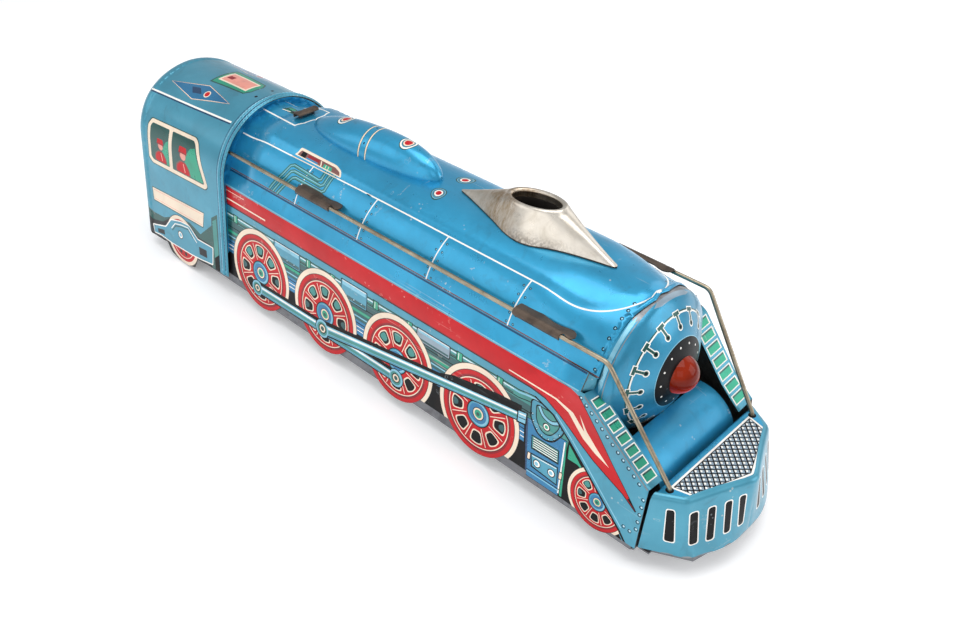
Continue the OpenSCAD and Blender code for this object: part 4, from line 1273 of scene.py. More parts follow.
    # rods
    rod(S, (-86.0, -10.6), (-32.5, -9.3), 5.4, 5.4, 4.4, 0)
    rod(S, (-32.5, -10.2), (23.3, -9.8), 5.2, 5.2, 0, 4.7)
    S.poly("black", [(44, 6.0), (99.5, 15.6), (99.5, 18.2), (86, 16.8), (60, 12.0)])
    rod(S, (-31.5, -9.3), (99.6, 12.3), 6.0, 4.3, 5.0, 0)
    S.poly("black", [(97.6, 8.6), (103.2, 9.6), (103.0, 16.4), (97.3, 15.4)])
    S.poly("blue_pale", [(98.3, 9.5), (102.4, 10.2), (102.3, 15.5), (98.0, 14.7)])
    S.line("white", [(98.6, 13.6), (102.2, 14.3)], 0.6)
    S.line("black", [(98.5, 11.6), (102.3, 12.3)], 0.4)
    # blue band along the diagonal and the nose field
    S.poly("black", [(104.5, 26.2), (115.5, 22.6), (125.0, 15.3), (135.0, 6.7), (148.9, -5.8), (156.2, -12.4), (160.5, -17), (167, -17), (167, 16), (128, 41), (112, 30)])
    S.poly("blue_side", [(105, 27), (116, 23.4), (125.5, 16.0), (135.5, 7.5), (149.4, -5.0), (156.8, -11.5), (161.8, -17), (170, -17), (172, 24), (133, 50), (126, 41.2), (112, 30)])
    S.line("blue_pale", [(117, 24.0), (126.3, 17.0), (136.2, 8.6), (150.0, -3.8), (157.2, -10.2)], 0.6)
    # stripe with its flash
    red = [(-118, 29.5), (103, 29.5), (111, 28.5), (119, 24.8), (124.4, 21.7), (130.7, 17.7), (138.7, 13.2), (147.2, 9.5), (154.6, 6.5), (162, 1.8),
           (155.7, 8.4), (147.1, 17), (138.3, 26.4), (130.2, 34.5), (126.0, 38.6), (122, 39.9), (-118, 39.9)]
    S.line("black", red[:10], 0.9)
    S.line("black", red[9:15], 0.7)
    S.poly("red", red)
    S.poly("red_dark", [(-118, 29.5), (103, 29.5), (111, 28.5), (111, 29.0), (103, 30.1), (-118, 30.1)])
    S.poly("black", [(157.0, 5.4), (162, 1.8), (157.9, 6.2)])
    S.line("cream", [(-113, 32.8), (-78, 32.9)], 0.8)
    S.line("cream", [(-113, 37.6), (-96, 37.6)], 0.35)
    fl = [(90, 31.9), (116, 31.6), (125, 29.5), (129.4, 25.7), (131.9, 23.8), (128.3, 30.3), (132.9, 24.6), (139.4, 19.2), (146.1, 14.4), (138.6, 16.9),
          (131.7, 20.5), (127.0, 24.6), (122.8, 28.4), (115.5, 30.8), (90, 31.3)]
    S.poly("cream", fl)
    # printed rivets along the fold and round the nose field
    riv = []
    for j in range(12):
        s = 0.8 + 40.4 * j / 11
        p = DA + DT * s - DN * 2.25
        riv.append(tuple(p))
    for j in range(1, 6):
        riv.append((164.0 - 0.05 * j, 13.3 - 3.9 * j))
    riv += [(161.3, -9.0), (158.2, -8.6)]
    for p in riv:
        S.rivet(p[0], p[1], 0.95)
    # windows on the flange
    for j in range(7):
        s0 = 3.6 + 5.75 * j
        def fp(s, d):
            return tuple(DA + DT * s + DN * d)
        S.poly("white", [fp(s0, 1.1), fp(s0 + 4.5, 1.1), fp(s0 + 4.5, 8.4), fp(s0, 8.4)])
        S.poly("green", [fp(s0 + 0.5, 1.7), fp(s0 + 4.0, 1.7), fp(s0 + 4.0, 7.8), fp(s0 + 0.5, 7.8)])
        S.poly("green_dark", [fp(s0 + 0.5, 1.7), fp(s0 + 1.2, 1.7), fp(s0 + 1.2, 7.8), fp(s0 + 0.5, 7.8)])
    # rubbed edge of the diagonal fold, a painted highlight along the top fold and a dark line under the top edge
    S.line("bare_grey", [tuple(DA + DT * 1 - DN * 0.35), tuple(DB - DT * 0.2 - DN * 0.35)], 0.5)
    S.line("blue_pale", [(-116, 40.7), (125.6, 40.7)], 0.55)
    S.line("blue_deep", [(-116, 48.6), (126, 48.6)], 0.8)


def side_extra(S):
    for x in np.arange(-116, 127, 4.0):
        for v in (40.0, 40.35, 40.7, 41.05, 41.4):
            S.steiner.append((x, v))
    for s in np.arange(0.5, 45, 2.5):
        for d in (-0.9, -0.7, -0.5, -0.3, -0.1, 0.1, 0.3, 0.52):
            S.steiner.append(tuple(DA + DT * s + DN * d))


for nm, sgn, node in (("side_right_print", -1, "side_panel_right"), ("side_left_print", 1, "side_panel_left")):
    def fmap(u, v, sgn=sgn):
        p = side_map(u, v)
        if sgn > 0:
            p = p * np.array([1, -1, 1])
        return p
    S = Sheet(nm, side_outline(), "blue_side", fmap, (6.0, 6.0), outside=-sgn)
    side_print(S)
    side_extra(S)
    S.build("train", (node,))


# small corner plates that close the shelf between side, flange and boiler end
for nm, sgn in (("corner_right", -1), ("corner_left", 1)):
    c00, c01 = side_map(126.3, 40.9), side_map(126.3, 49.0)
    c10, c11 = side_map(*(DA + DN * 6.2 + DT * 0.9)), boiler_map(131.0, -43.3)

    def cmap(a, b, sgn=sgn, c00=c00, c01=c01, c10=c10, c11=c11):
        a, b = np.asarray(a, float)[..., None] / 8, np.asarray(b, float)[..., None] / 8
        p = (c00 * (1 - a) + c10 * a) * (1 - b) + (c01 * (1 - a) + c11 * a) * b - np.array([0, 0, 0.25])
        return p * np.array([1, -sgn, 1])

    S = Sheet(nm, [(0, 0), (8, 0), (8, 8), (0, 8)], "blue_side", cmap, (1.3, 1.3), outside=-sgn)
    S.build("train", ())


# ------------------------------------------------------------------ boiler
def boiler_sheet():
    S = Sheet("boiler_print", [(-130.0, -BW)] + [(float(rim_x(w)), float(w)) for w in np.linspace(-BW, BW, 45)] + [(-130.0, BW)], "blue", boiler_map, (4.0, 1.6))
    for x in np.arange(131.6, 134.2, 0.3):
        for w in np.arange(-BW + 0.8, BW, 1.6):
            S.steiner.append((float(x), float(w)))
    for x in np.arange(-129.0, 131, 4.0):
        for yy in np.arange(12.0, 19.6, 0.6):
            for s in (-1, 1):
                S.steiner.append((float(x), float(s * boiler_w(x, yy))))

    def P(x, y):
        return (x, float(boiler_w(x, y)))

    for s in (-1, 1):
        # seam edge
        S.line("brown_ink", [(-118, s * (BW - 0.5)), (132, s * (BW - 0.5))], 0.55)
        # thin rows of rivets and lines that split the cladding
        for x in (-58.2, -11.5, 35.1, 83.7):
            ys = np.linspace(18.3, 31.8, 9)
            S.line("white", [P(x - 0.05 * (y - 18), s * y) for y in ys], 0.62)
            for y in (21.0, 24.2, 27.0, 29.4, 31.2):
                for o in (-1.85, 1.85):
                    c = P(x + o, s * y)
                    S.disc("black", c[0], c[1], 0.62, 10)
                    S.disc("blue_pale", c[0] + 0.05, c[1], 0.30, 8)
        for y in (9.0, 12.9, 16.7, 20.6, 24.0, 27.0, 29.3, 31.1):
            c = P(128.6, s * y)
            S.disc("black", c[0], c[1], 0.85, 12)
            S.disc("blue_pale", c[0] + 0.1, c[1], 0.42, 10)
        # pipes
        pipes = ([(-49.2, 17.7), (-48.9, 21.9), (-50.2, 22.5), (-69.6, 21.8), (-71.6, 22.6), (-73.6, 26.3), (-79.4, 31.6)],
                 [(-46.0, 17.7), (-45.7, 23.2), (-47.2, 24.0), (-67.4, 23.8), (-69.4, 24.5), (-71.0, 27.0), (-76.6, 31.7)],
                 [(-43.2, 17.7), (-43.2, 24.9), (-44.6, 25.7), (-64.6, 25.6), (-66.4, 26.2), (-68.4, 28.2), (-73.4, 31.8)])
        for pp in pipes:
            q = [P(a, s * b) for a, b in pp]
            S.line("green_dark", q, 2.1)
            S.line("teal", q, 1.3)
            S.line("blue_pale", [(a + 0.15, b + 0.2) for a, b in q], 0.4)
        # hatch on the crown line
        h = [(-74.4, 17.6), (-71.6, 14.9), (-44.6, 14.9), (-40.6, 15.6), (-39.0, 17.6)]
        S.poly("cream", rounded([P(a, s * b) for a, b in h], 0.8, 3))
        h2 = [(-72.8, 17.2), (-71.0, 15.5), (-45.0, 15.5), (-41.5, 16.1), (-40.4, 17.2)]
        S.poly("brown_ink", rounded([P(a, s * b) for a, b in h2], 0.6, 3))
        S.poly("black", [P(a, s * b) for a, b in ((-70.6, 17.2), (-69.8, 15.6), (-66.4, 15.6), (-66.9, 17.2))])
        S.poly("red_dark", [P(a, s * b) for a, b in ((-65.4, 16.5), (-65.2, 15.7), (-56.4, 15.7), (-56.6, 16.5))])
        S.poly("blue_mid", [P(a, s * b) for a, b in ((-66.0, 17.2), (-65.8, 16.6), (-57.4, 16.6), (-57.4, 17.2))])
        S.poly("green", [P(a, s * b) for a, b in ((-53.2, 17.2), (-53.0, 16.0), (-47.2, 16.0), (-46.6, 17.2))])
        S.line("cream", [P(-55.4, s * 15.7), P(-54.6, s * 17.2)], 0.7)
        for a in (-51.4, -49.4):
            S.line("cream", [P(a, s * 16.1), P(a, s * 17.1)], 0.4)
    # line round the foot of the crown
    ring = []
    q = PAD / (PAD_TIP - PAD_X)
    for x in np.linspace(-121.0, PAD_X, 60):
        ring.append((x, -PAD))
    for a in np.linspace(0, math.pi, 60)[1:-1]:
        ring.append((PAD_X + PAD / q * math.sin(a), -PAD * math.cos(a)))
    for x in np.linspace(PAD_X, -121.0, 60):
        ring.append((x, PAD))
    q = []
    for a, b in ring:
        xp, yp = guide(float(a), float(b) * float(1 - 0.12 * smooth((-86 - a) / 22)))
        q.append(P(min(xp, 133.4), yp))
    for a, b in zip(q[:-1], q[1:]):
        if not (-74.2 < 0.5 * (a[0] + b[0]) < -39.4):
            for quad in stroke([a, b], 0.75):
                S.poly("white", quad)
        else:
            for quad in stroke([a, b], 0.5):
                S.poly("cream", quad)
    # control field round the switch tab
    f = [(-118, -10.0), (-82.0, -10.5), (-78.8, -6.6), (-78.0, 0.0), (-78.8, 6.6), (-82.0, 10.5), (-118, 10.0)]
    S.line("white", [P(a, b) for a, b in f], 0.7)
    S.poly("green_dark", rounded([P(a, b) for a, b in ((-99.8, -4.8), (-89.4, -4.8), (-88.8, 2.8), (-93.8, 6.4), (-98.6, 6.2))], 1.0, 3))
    S.poly("green", rounded([P(a, b) for a, b in ((-97.2, 0.4), (-89.6, 0.2), (-89.4, 2.4), (-94.0, 5.8), (-97.6, 5.6))], 0.8, 3))
    S.line("white", [P(-99.4, -4.6), P(-94.2, -3.9), P(-94.0, -0.8), P(-89.2, -1.2)], 0.55)
    S.line("black", [P(-97.8, -2.6), P(-90.4, -2.8)], 0.7)
    for a in (-96.0, -93.4, -90.8):
        S.line("cream", [P(a, 1.2), P(a, 2.6)], 0.4)
    # round filler caps on the crown
    for y in (-8.5, 8.5):
        c = P(19.0, y)
        for r, nm in ((3.9, "green_dark"), (3.45, "blue_pale"), (3.05, "blue_side"), (2.35, "black"), (2.15, "white"), (1.45, "red")):
            S.disc(nm, c[0], c[1], r, 26)
    S.build("train", ("boiler_shell",))


boiler_sheet()


# ------------------------------------------------------------------ dome
def dome_sheet():
    S = Sheet("dome_print", [(-76.95, -17), (12.35, -17), (12.35, 17), (-76.95, 17)], "blue", dome_map, (2.2, 1.0), t=0.3)
    for x in list(np.linspace(-76.9, -74, 12)) + list(np.linspace(8.5, 12.3, 14)):
        for q in np.arange(-16.5, 17, 1.0):
            S.steiner.append((float(x), float(q)))
    for x in (-33.4, -28.6):
        S.line("green_dark", [(x, -17), (x, 17)], 1.3)
        S.line("cream", [(x, -17), (x, 17)], 0.75)
    for q in (-9, 0, 9):
        S.disc("black", -31, q, 0.5, 8)
    for x, sq in ((-9.1, 1.25), (-53.4, 1.18)):
        for r, nm in ((4.2, "green_dark"), (3.8, "white"), (3.1, "blue_side"), (2.6, "black"), (2.4, "cream"), (1.8, "red")):
            S.disc(nm, x, 0.0, r, 28, ry=r * sq)
    S.line("brown_ink", [(-70, 15.6), (10.5, 15.6)], 0.5)
    S.line("brown_ink", [(-70, -15.6), (10.5, -15.6)], 0.5)
    S.build("train", ("steam_dome",))


dome_sheet()


# ------------------------------------------------------------------ cab
def cab_sheet():
    lo = CAB_TOP - V0 - 3.0
    zs = 11.6
    S = Sheet("cab_print", [(CAB_X0 + 0.1, -CAB_TOP - 19.8), (-175.0, -CAB_TOP - 19.0), (-172.0, -CAB_TOP - 18.6), (-167.6, -CAB_TOP - 24.0), (-160, -CAB_TOP - 25.6),
                            (-152, -CAB_TOP - 25.6), (-145.0, -CAB_TOP - 24.0), (-141.0, -CAB_TOP - 17.0), (CAB_X1, -CAB_TOP - 14.4),
                            (CAB_X1, CAB_TOP + 14.4), (-141.0, CAB_TOP + 17.0), (-145.0, CAB_TOP + 24.0), (-152, CAB_TOP + 25.6),
                            (-160, CAB_TOP + 25.6), (-167.6, CAB_TOP + 24.0), (-172.0, CAB_TOP + 18.6), (-175.0, CAB_TOP + 19.0), (CAB_X0 + 0.1, CAB_TOP + 19.8)],
              "blue_side", cab_map, (4.0, 2.2))
    for w in np.arange(-CAB_TOP - 14, CAB_TOP + 14, 2.2):
        for x in list(np.arange(CAB_X1 - 6.2, CAB_X1, 0.35)) + list(np.arange(-192.5, -186.5, 0.6)):
            S.steiner.append((float(x), float(w)))

    for s in (-1, 1):
        def P(x, v):
            return (x, s * (CAB_TOP - v))

        def poly(nm, pts, r=0.0):
            q = [P(a, b) for a, b in pts]
            S.poly(nm, rounded(q, r, 3) if r else q)

        # dark and green ground over the truck
        poly("green_dark", [(-192.5, -1.5), (-186, -4.0), (-173, -3.0), (-160, 3.0), (-146, 4.4), (-136, 1.4), (-124.5, 11.6), (-124.1, 16.6), (-118.4, 20.6), (-118.4, -30), (-192.5, -30)])
        poly("dark", [(-192.5, -7), (-187, -9.5), (-175, -6.6), (-168, -1.6), (-160, 1.6), (-147, 3.0), (-139, -1.6), (-126, -1.4), (-126, -30), (-192.5, -30)])
        poly("teal", [(-123.4, 14.6), (-119.6, 17.4), (-119.2, -8.0), (-123.0, -8.0)])
        poly("black", [(-123, -8), (-118.4, -4), (-118.4, -26), (-123, -26)])
        # trailing wheel
        S.disc("dark", *P(-155.2, -10.8), 15.6, 48)
        S.disc("cream", *P(-155.2, -10.8), 15.2, 48)
        S.disc("red", *P(-155.2, -10.8), 13.0, 48)
        S.line("cream", [P(a, b) for a, b in circle(-155.2, -10.8, 10.8, 36)], 0.45, True)
        for j in range(10):
            a = math.radians(36 * j)
            S.disc("dark", *P(-155.2 + 8.2 * math.cos(a), -10.8 + 8.2 * math.sin(a)), 1.25, 14)
        # truck side frame
        tr = [(-187.2, -12.6), (-172.6, -8.3), (-166.4, -1.2), (-156, 1.6), (-147, 2.4), (-139.2, -2.8), (-124.0, -2.0), (-125.2, -13.8), (-137, -15.6), (-146.3, -16.6),
              (-167.0, -17.6), (-178.5, -17.2), (-186.5, -18.2)]
        poly("white", tr, 0.8)
        tr2 = [(-186.6, -13.2), (-172.2, -9.0), (-165.9, -1.9), (-156, 0.9), (-147.2, 1.7), (-139.4, -3.5), (-124.8, -2.7), (-125.8, -13.2), (-137, -14.9), (-146.3, -15.9),
               (-167.0, -16.9), (-178.5, -16.5), (-186.0, -17.5)]
        poly("blue_side", tr2, 0.8)
        S.line("white", [P(a, b) for a, b in ((-166.2, -7.2), (-162.0, -2.6), (-155.6, -0.9), (-148.4, 0.2), (-143.6, -3.6), (-140.4, -6.0))], 0.6)
        S.line("green_dark", [P(a, b) for a, b in ((-165.4, -8.2), (-161.4, -3.8), (-155.6, -2.1), (-148.8, -1.0), (-144.2, -4.6))], 0.7)
        poly("dark", [(-181.6, -13.6), (-174.4, -11.8), (-174.0, -15.0), (-181.4, -16.2)], 0.4)
        poly("dark", [(-138.6, -7.6), (-131.0, -6.8), (-130.8, -11.6), (-138.2, -12.4)], 0.4)
        S.disc("black", *P(-157.0, -7.8), 2.6, 22)
        S.disc("white", *P(-157.0, -7.8), 2.1, 22)
        S.disc("blue_pale", *P(-156.9, -7.8), 1.2, 18)
        # windows with two crew shapes
        win = [(-182.6, 51.4), (-179.6, 55.6), (-138.0, 57.8), (-135.2, 55.8), (-125.8, 34.0), (-128.2, 31.8), (-179.6, 29.3), (-183.2, 31.6)]
        poly("green_dark", [(a * 1.0 + (0.5 if a > -155 else -0.5), b + (0.5 if b > 45 else -0.5)) for a, b in win], 1.2)
        poly("cream", win, 1.2)
        poly("green_dark", [(-180.2, 51.0), (-178.4, 53.5), (-162.0, 54.4), (-162.2, 32.4), (-178.6, 31.5), (-180.8, 33.0)], 0.8)
        poly("green_dark", [(-158.9, 54.6), (-139.2, 55.7), (-137.4, 54.2), (-128.9, 34.8), (-129.8, 34.0), (-159.1, 32.6)], 0.8)
        poly("green", [(-170.0, 32.4), (-168.4, 41.0), (-164.6, 46.5), (-162.5, 47.6), (-162.6, 32.9)])
        poly("green", [(-147.6, 34.0), (-146.0, 44.5), (-141.6, 50.4), (-137.4, 52.0), (-129.8, 35.2), (-130.4, 34.6)])
        for (cx, top, k, base) in ((-170.6, 47.6, 1.0, 32.3), (-148.4, 50.8, 1.18, 33.4)):
            poly("brown_ink", [(cx - 6.6 * k, base), (cx - 5.8 * k, top - 11.0 * k), (cx - 2.2 * k, top - 8.4 * k), (cx + 2.4 * k, top - 8.4 * k), (cx + 5.2 * k, top - 11.4 * k), (cx + 6.2 * k, base + 0.4)], 1.2)
            poly("red", [(cx - 5.6 * k, base + 0.2), (cx - 5.0 * k, top - 11.4 * k), (cx - 1.9 * k, top - 9.0 * k), (cx + 2.0 * k, top - 9.0 * k), (cx + 4.4 * k, top - 11.8 * k), (cx + 5.0 * k, base + 0.5)], 1.2)
            S.line("pink", [P(cx + 0.2, top - 9.6 * k), P(cx + 1.4 * k, base + 1.4)], 0.8)
            S.disc("brown_ink", *P(cx, top - 5.4 * k), 2.7 * k, 20)
            S.disc("pink", *P(cx + 0.3 * k, top - 5.6 * k), 2.2 * k, 20)
            poly("red", [(cx - 3.2 * k, top - 4.4 * k), (cx + 3.3 * k, top - 4.2 * k), (cx + 2.8 * k, top - 1.2 * k), (cx - 2.6 * k, top - 1.4 * k)], 0.8)
            S.line("red_dark", [P(cx - 3.4 * k, top - 4.4 * k), P(cx + 3.6 * k, top - 4.2 * k)], 0.7)
        # blank plate
        pl = [(-183.0, 12.7), (-131.4, 16.2), (-133.0, 7.2), (-182.4, 5.0)]
        poly("green_dark", [(-183.5, 13.2), (-130.9, 16.8), (-132.5, 6.6), (-182.9, 4.4)], 0.4)
        poly("cream", pl, 0.4)
        S.line("pink", [P(-181.8, 11.7), P(-132.6, 15.1)], 0.35)
        S.line("pink", [P(-181.4, 6.1), P(-133.8, 8.2)], 0.35)
        # eave line
        S.line("blue_deep", [P(-190.5, 69.0), P(-150, 71.0), P(-118.5, 72.9)], 0.8)
        S.line("white", [P(-190.5, 70.0), P(-150, 72.0), P(-118.5, 73.9)], 1.0)
        # lamp field on the roof
        dm = [(-180.3, 79.6), (-156.4, 75.4), (-141.0, 79.6), (-129.8, 82.4), (-153.0, 86.8)]
        poly("brown_ink", [(-181.3, 79.5), (-156.4, 74.8), (-140.8, 79.0), (-128.8, 82.4), (-153.2, 87.5)])
        poly("cream", [(-180.9, 79.5), (-156.4, 75.0), (-140.9, 79.2), (-129.2, 82.4), (-153.1, 87.2)])
        poly("blue_mid", dm)
        poly("blue_deep", [(-163.6, 82.0), (-157.0, 83.4), (-152.6, 80.2), (-159.4, 78.6)], 0.4)
        S.disc("cream", *P(-148.8, 81.6), 2.3, 20)
        S.disc("red", *P(-148.8, 81.6), 1.7, 18)
    # roof hatch
    def R(x, w):
        return (x, w)
    S.poly("green_dark", [(-157.6, -9.6), (-129.6, -7.8), (-126.8, -4.0), (-126.8, 4.0), (-129.6, 7.8), (-157.6, 9.6)])
    S.poly("green", [(-156.6, -8.6), (-130.2, -7.0), (-127.6, -3.6), (-127.6, 3.6), (-130.2, 7.0), (-156.6, 8.6)])
    S.poly("cream", [(-155.0, -5.6), (-130.6, -5.2), (-130.6, 5.2), (-155.0, 5.6)])
    S.poly("pink", [(-153.6, -4.5), (-131.8, -4.2), (-131.8, 4.2), (-153.6, 4.5)])
    S.poly("red_dark", [(-152.4, -1.6), (-147.6, -1.6), (-147.6, 1.6), (-152.4, 1.6)])
    for w in (-38, 38):
        S.disc("black", -121.0, w * 0.14, 0.9, 12)
    # painted highlights on the two bead crests and painted shade in the grooves beside them
    for dx, nm, wd in ((1.3, "blue_pale", 0.9), (2.7, "blue_deep", 0.7), (4.4, "blue_pale", 1.1), (6.2, "blue_deep", 0.4)):
        S.line(nm, [(CAB_X1 - dx, -CAB_TOP - 12.0), (CAB_X1 - dx, CAB_TOP + 12.0)], wd)
    S.build("train", ("cab_shell",))


cab_sheet()


# ------------------------------------------------------------------ front cap
def cap_sheet():
    S = Sheet("cap_print", circle(0, 0, CAP_S - 0.4, 96), "blue_cap", cap_map, (2.2, 2.2))
    for r in np.arange(26.5, CAP_S - 0.5, 0.9):
        for j in range(90):
            a = 2 * math.pi * (j + 0.5 * (int(r * 10) % 2)) / 90
            S.steiner.append((float(r * math.cos(a)), float(r * math.sin(a))))
    # rubbed edge along the top of the shoulder, with a painted highlight in pale blue on its left
    se = CAP_S - 7.6

    def strip(nm, r0, r1, a0, a1):
        m = 0.5 * (r0 + r1)
        S.poly(nm, [(m * math.cos(math.radians(a0)), m * math.sin(math.radians(a0)))] + arc_pts(0, 0, r0, a0 + 7, a1 - 7, 26)
               + [(m * math.cos(math.radians(a1)), m * math.sin(math.radians(a1)))] + arc_pts(0, 0, r1, a1 - 7, a0 + 7, 26))

    strip("bare_grey", se - 1.5, se + 1.5, 38, 124)
    # painted highlight: a pale blue gleam on the left of the shoulder
    strip("blue_pale", se - 0.9, se + 0.9, 116, 176)
    strip("grey_blue", se - 4.2, se - 1.5, 58, 104)
    S.line("bare_grey", arc_pts(0, 0, se - 1.6, 62, 196, 60), 0.35)
    S.line("green_dark", circle(0, 0, 28.3, 72), 0.7, True)
    S.line("white", circle(0, 0, 27.75, 72), 0.7, True)
    for j in range(16):
        a = math.radians(86.5 + 22.5 * j)
        ca, sa = math.cos(a), math.sin(a)
        def Q(r, t):
            return (r * ca - t * sa, r * sa + t * ca)
        S.poly("white", [Q(27.0, -2.35), Q(29.35, -2.35), Q(29.35, 2.35), Q(27.0, 2.35)])
        S.poly("white", [Q(22.9, -1.0), Q(28.6, -1.0), Q(28.6, 1.0), Q(22.9, 1.0)])
        S.disc("white", *Q(22.6, 0), 1.65, 20)
        S.poly("green_dark", [Q(27.4, -1.95), Q(28.9, -1.95), Q(28.9, 1.95), Q(27.4, 1.95)])
        S.poly("green_dark", [Q(22.9, -0.58), Q(28.2, -0.58), Q(28.2, 0.58), Q(22.9, 0.58)])
        S.disc("green_dark", *Q(22.6, 0), 1.15, 18)
        S.disc("black", *Q(22.6, 0), 0.7, 12)
    S.disc("blue_pale", 0, 1.4, 16.35, 64)
    S.disc("black", 0, 1.4, 16.0, 64)
    for j in range(13):
        a = math.radians(97 + 360 / 13 * j)
        S.disc("white", 13.2 * math.cos(a), 1.4 + 13.2 * math.sin(a), 0.5, 10)
    S.build("train", ("smokebox_front",))


cap_sheet()


# ------------------------------------------------------------------ stack
def stack():
    cx, n = 69.0, 40
    q = curve_through([(43.6, 0.0), (43.0, 0.9), (41.4, 1.6), (37.0, 2.9), (29.7, 5.2), (22, 7.6), (14.5, 9.8), (9, 11.3), (4, 12.0), (0, 12.2)], 12)
    q = np.array(q)
    sl = np.concatenate([[0], np.cumsum(np.linalg.norm(np.diff(q, axis=0), axis=1))])
    sl = sl / sl[-1]
    ring = []
    for quad in range(4):
        for i in range(n):
            u = i / n if quad in (0, 2) else 1 - i / n
            ring.append((u, 1 if quad in (0, 3) else -1, 1 if quad in (0, 1) else -1))
    u = np.array([r[0] for r in ring])
    sx = np.array([r[1] for r in ring])
    sy = np.array([r[2] for r in ring])
    bx, by = np.interp(u, sl, q[:, 0]) * sx, np.interp(u, sl, q[:, 1]) * sy
    ang = u ** 0.66 * math.pi / 2
    ex, ey = np.cos(ang) * sx, np.sin(ang) * sy

    def oval(a, b):
        return ex * a, ey * b

    zl = lambda x: 115.56 + 0.082 * x
    mx, my, zb = boiler_at(cx + bx, by)
    bx, by = mx - cx, my
    rows, names = [], []

    def row(x, y, z, nm):
        rows.append(np.stack([cx + x, y, np.broadcast_to(z, x.shape)], -1))
        names.append(nm)

    # painted shade: the inner walls of the hole and the floor that closes it stay near-black
    x, y = oval(12.0, 5.8)
    row(x, y, 104.1, "stack_hole_shade")
    row(x, y, 107.0, "stack_hole_shade")
    for a, b, d in ((12.2, 5.9, -4.2), (12.5, 6.15, -2.4)):
        x, y = oval(a, b)
        row(x, y, zl(x) + d, "stack_hole_shade" if d < -3 else "nickel")
    for t in (200, 180, 155, 130, 105, 80, 58, 38):
        c, s = math.cos(math.radians(t)), math.sin(math.radians(t))
        x, y = oval(14.3 + 1.6 * c, 7.5 + 1.2 * c)
        x0, _ = oval(14.3, 7.5)
        row(x, y, zl(x0) + 1.2 * s, "nickel")
    nx, ny = oval(16.1, 8.85)
    nz = zl(oval(14.3, 7.5)[0]) + 0.12
    top = zb + 0.75
    for k in range(0, 19):
        t = 1 - k / 18
        h, v = 0.9 * t + 0.1 * t ** 3, 0.80 * t + 0.20 * t ** 2
        row(bx + (nx - bx) * h, by + (ny - by) * h, top + (nz - top) * v, "nickel")
    row(bx * 1.002, by * 1.004, zb + 0.5, "brown_tin")
    row(bx * 0.998, by * 0.99, zb + 0.05, "brown_tin")
    x, y = oval(11.5, 6.0)
    row(x, y, 101.5, "stack_hole_shade")
    m = len(u)
    verts = [tuple(p) for r in rows for p in r]
    faces, nm = [], []
    for i in range(len(rows) - 1):
        for k in range(m):
            a, b = i * m + k, i * m + (k + 1) % m
            faces.append((a, b, b + m, a + m))
            nm.append(names[i + 1] if i > 2 else names[i])
    faces.append(tuple(range(m))[::-1])
    faces.append(tuple((len(rows) - 1) * m + k for k in range(m)))
    nm += ["stack_hole_shade", "stack_hole_shade"]
    verts, faces = oriented(verts, faces)
    solid("stack_plated", verts, faces, nm, "train", ("smokestack",), 28.0)


stack()


# ------------------------------------------------------------------ headlamp lens
def lens():
    prof = [(0.0, 154.9)]
    for t in np.linspace(8, 90, 14):
        prof.append((7.1 * math.sin(math.radians(t)), 148.0 + 6.9 * math.cos(math.radians(t))))
    prof += [(7.1, 145.8), (8.6, 145.8), (8.6, 147.6)]
    for t in np.linspace(88, 6, 22):
        prof.append((8.6 * math.sin(math.radians(t)), 147.6 + 9.1 * math.cos(math.radians(t))))
    prof.append((0.0, 156.72))
    v, f = lathe(prof, (0, 0, 68.3), "X", 48)
    v, f = oriented(v, f)
    solid("headlamp_red", v, f, ["red_lens"] * len(f), "train", ("headlamp_lens",), 50.0)


lens()


# ------------------------------------------------------------------ apron roll
def apron():
    s, p = chain([(165.0, 22.0), (165.0, 46.1), (144.6, 46.1)], [18.5])

    def amap(a, y):
        a, y = np.asarray(a, float), np.asarray(y, float)
        return np.stack([np.interp(a, s, p[:, 0]), y, np.interp(a, s, p[:, 1])], -1)

    S = Sheet("apron_print", [(0.3, -27.5), (s[-1] - 0.2, -27.5), (s[-1] - 0.2, 27.5), (0.3, 27.5)], "blue_roll", amap, (1.6, 5.0), outside=-1)
    S.build("train", ("front_apron",))


apron()


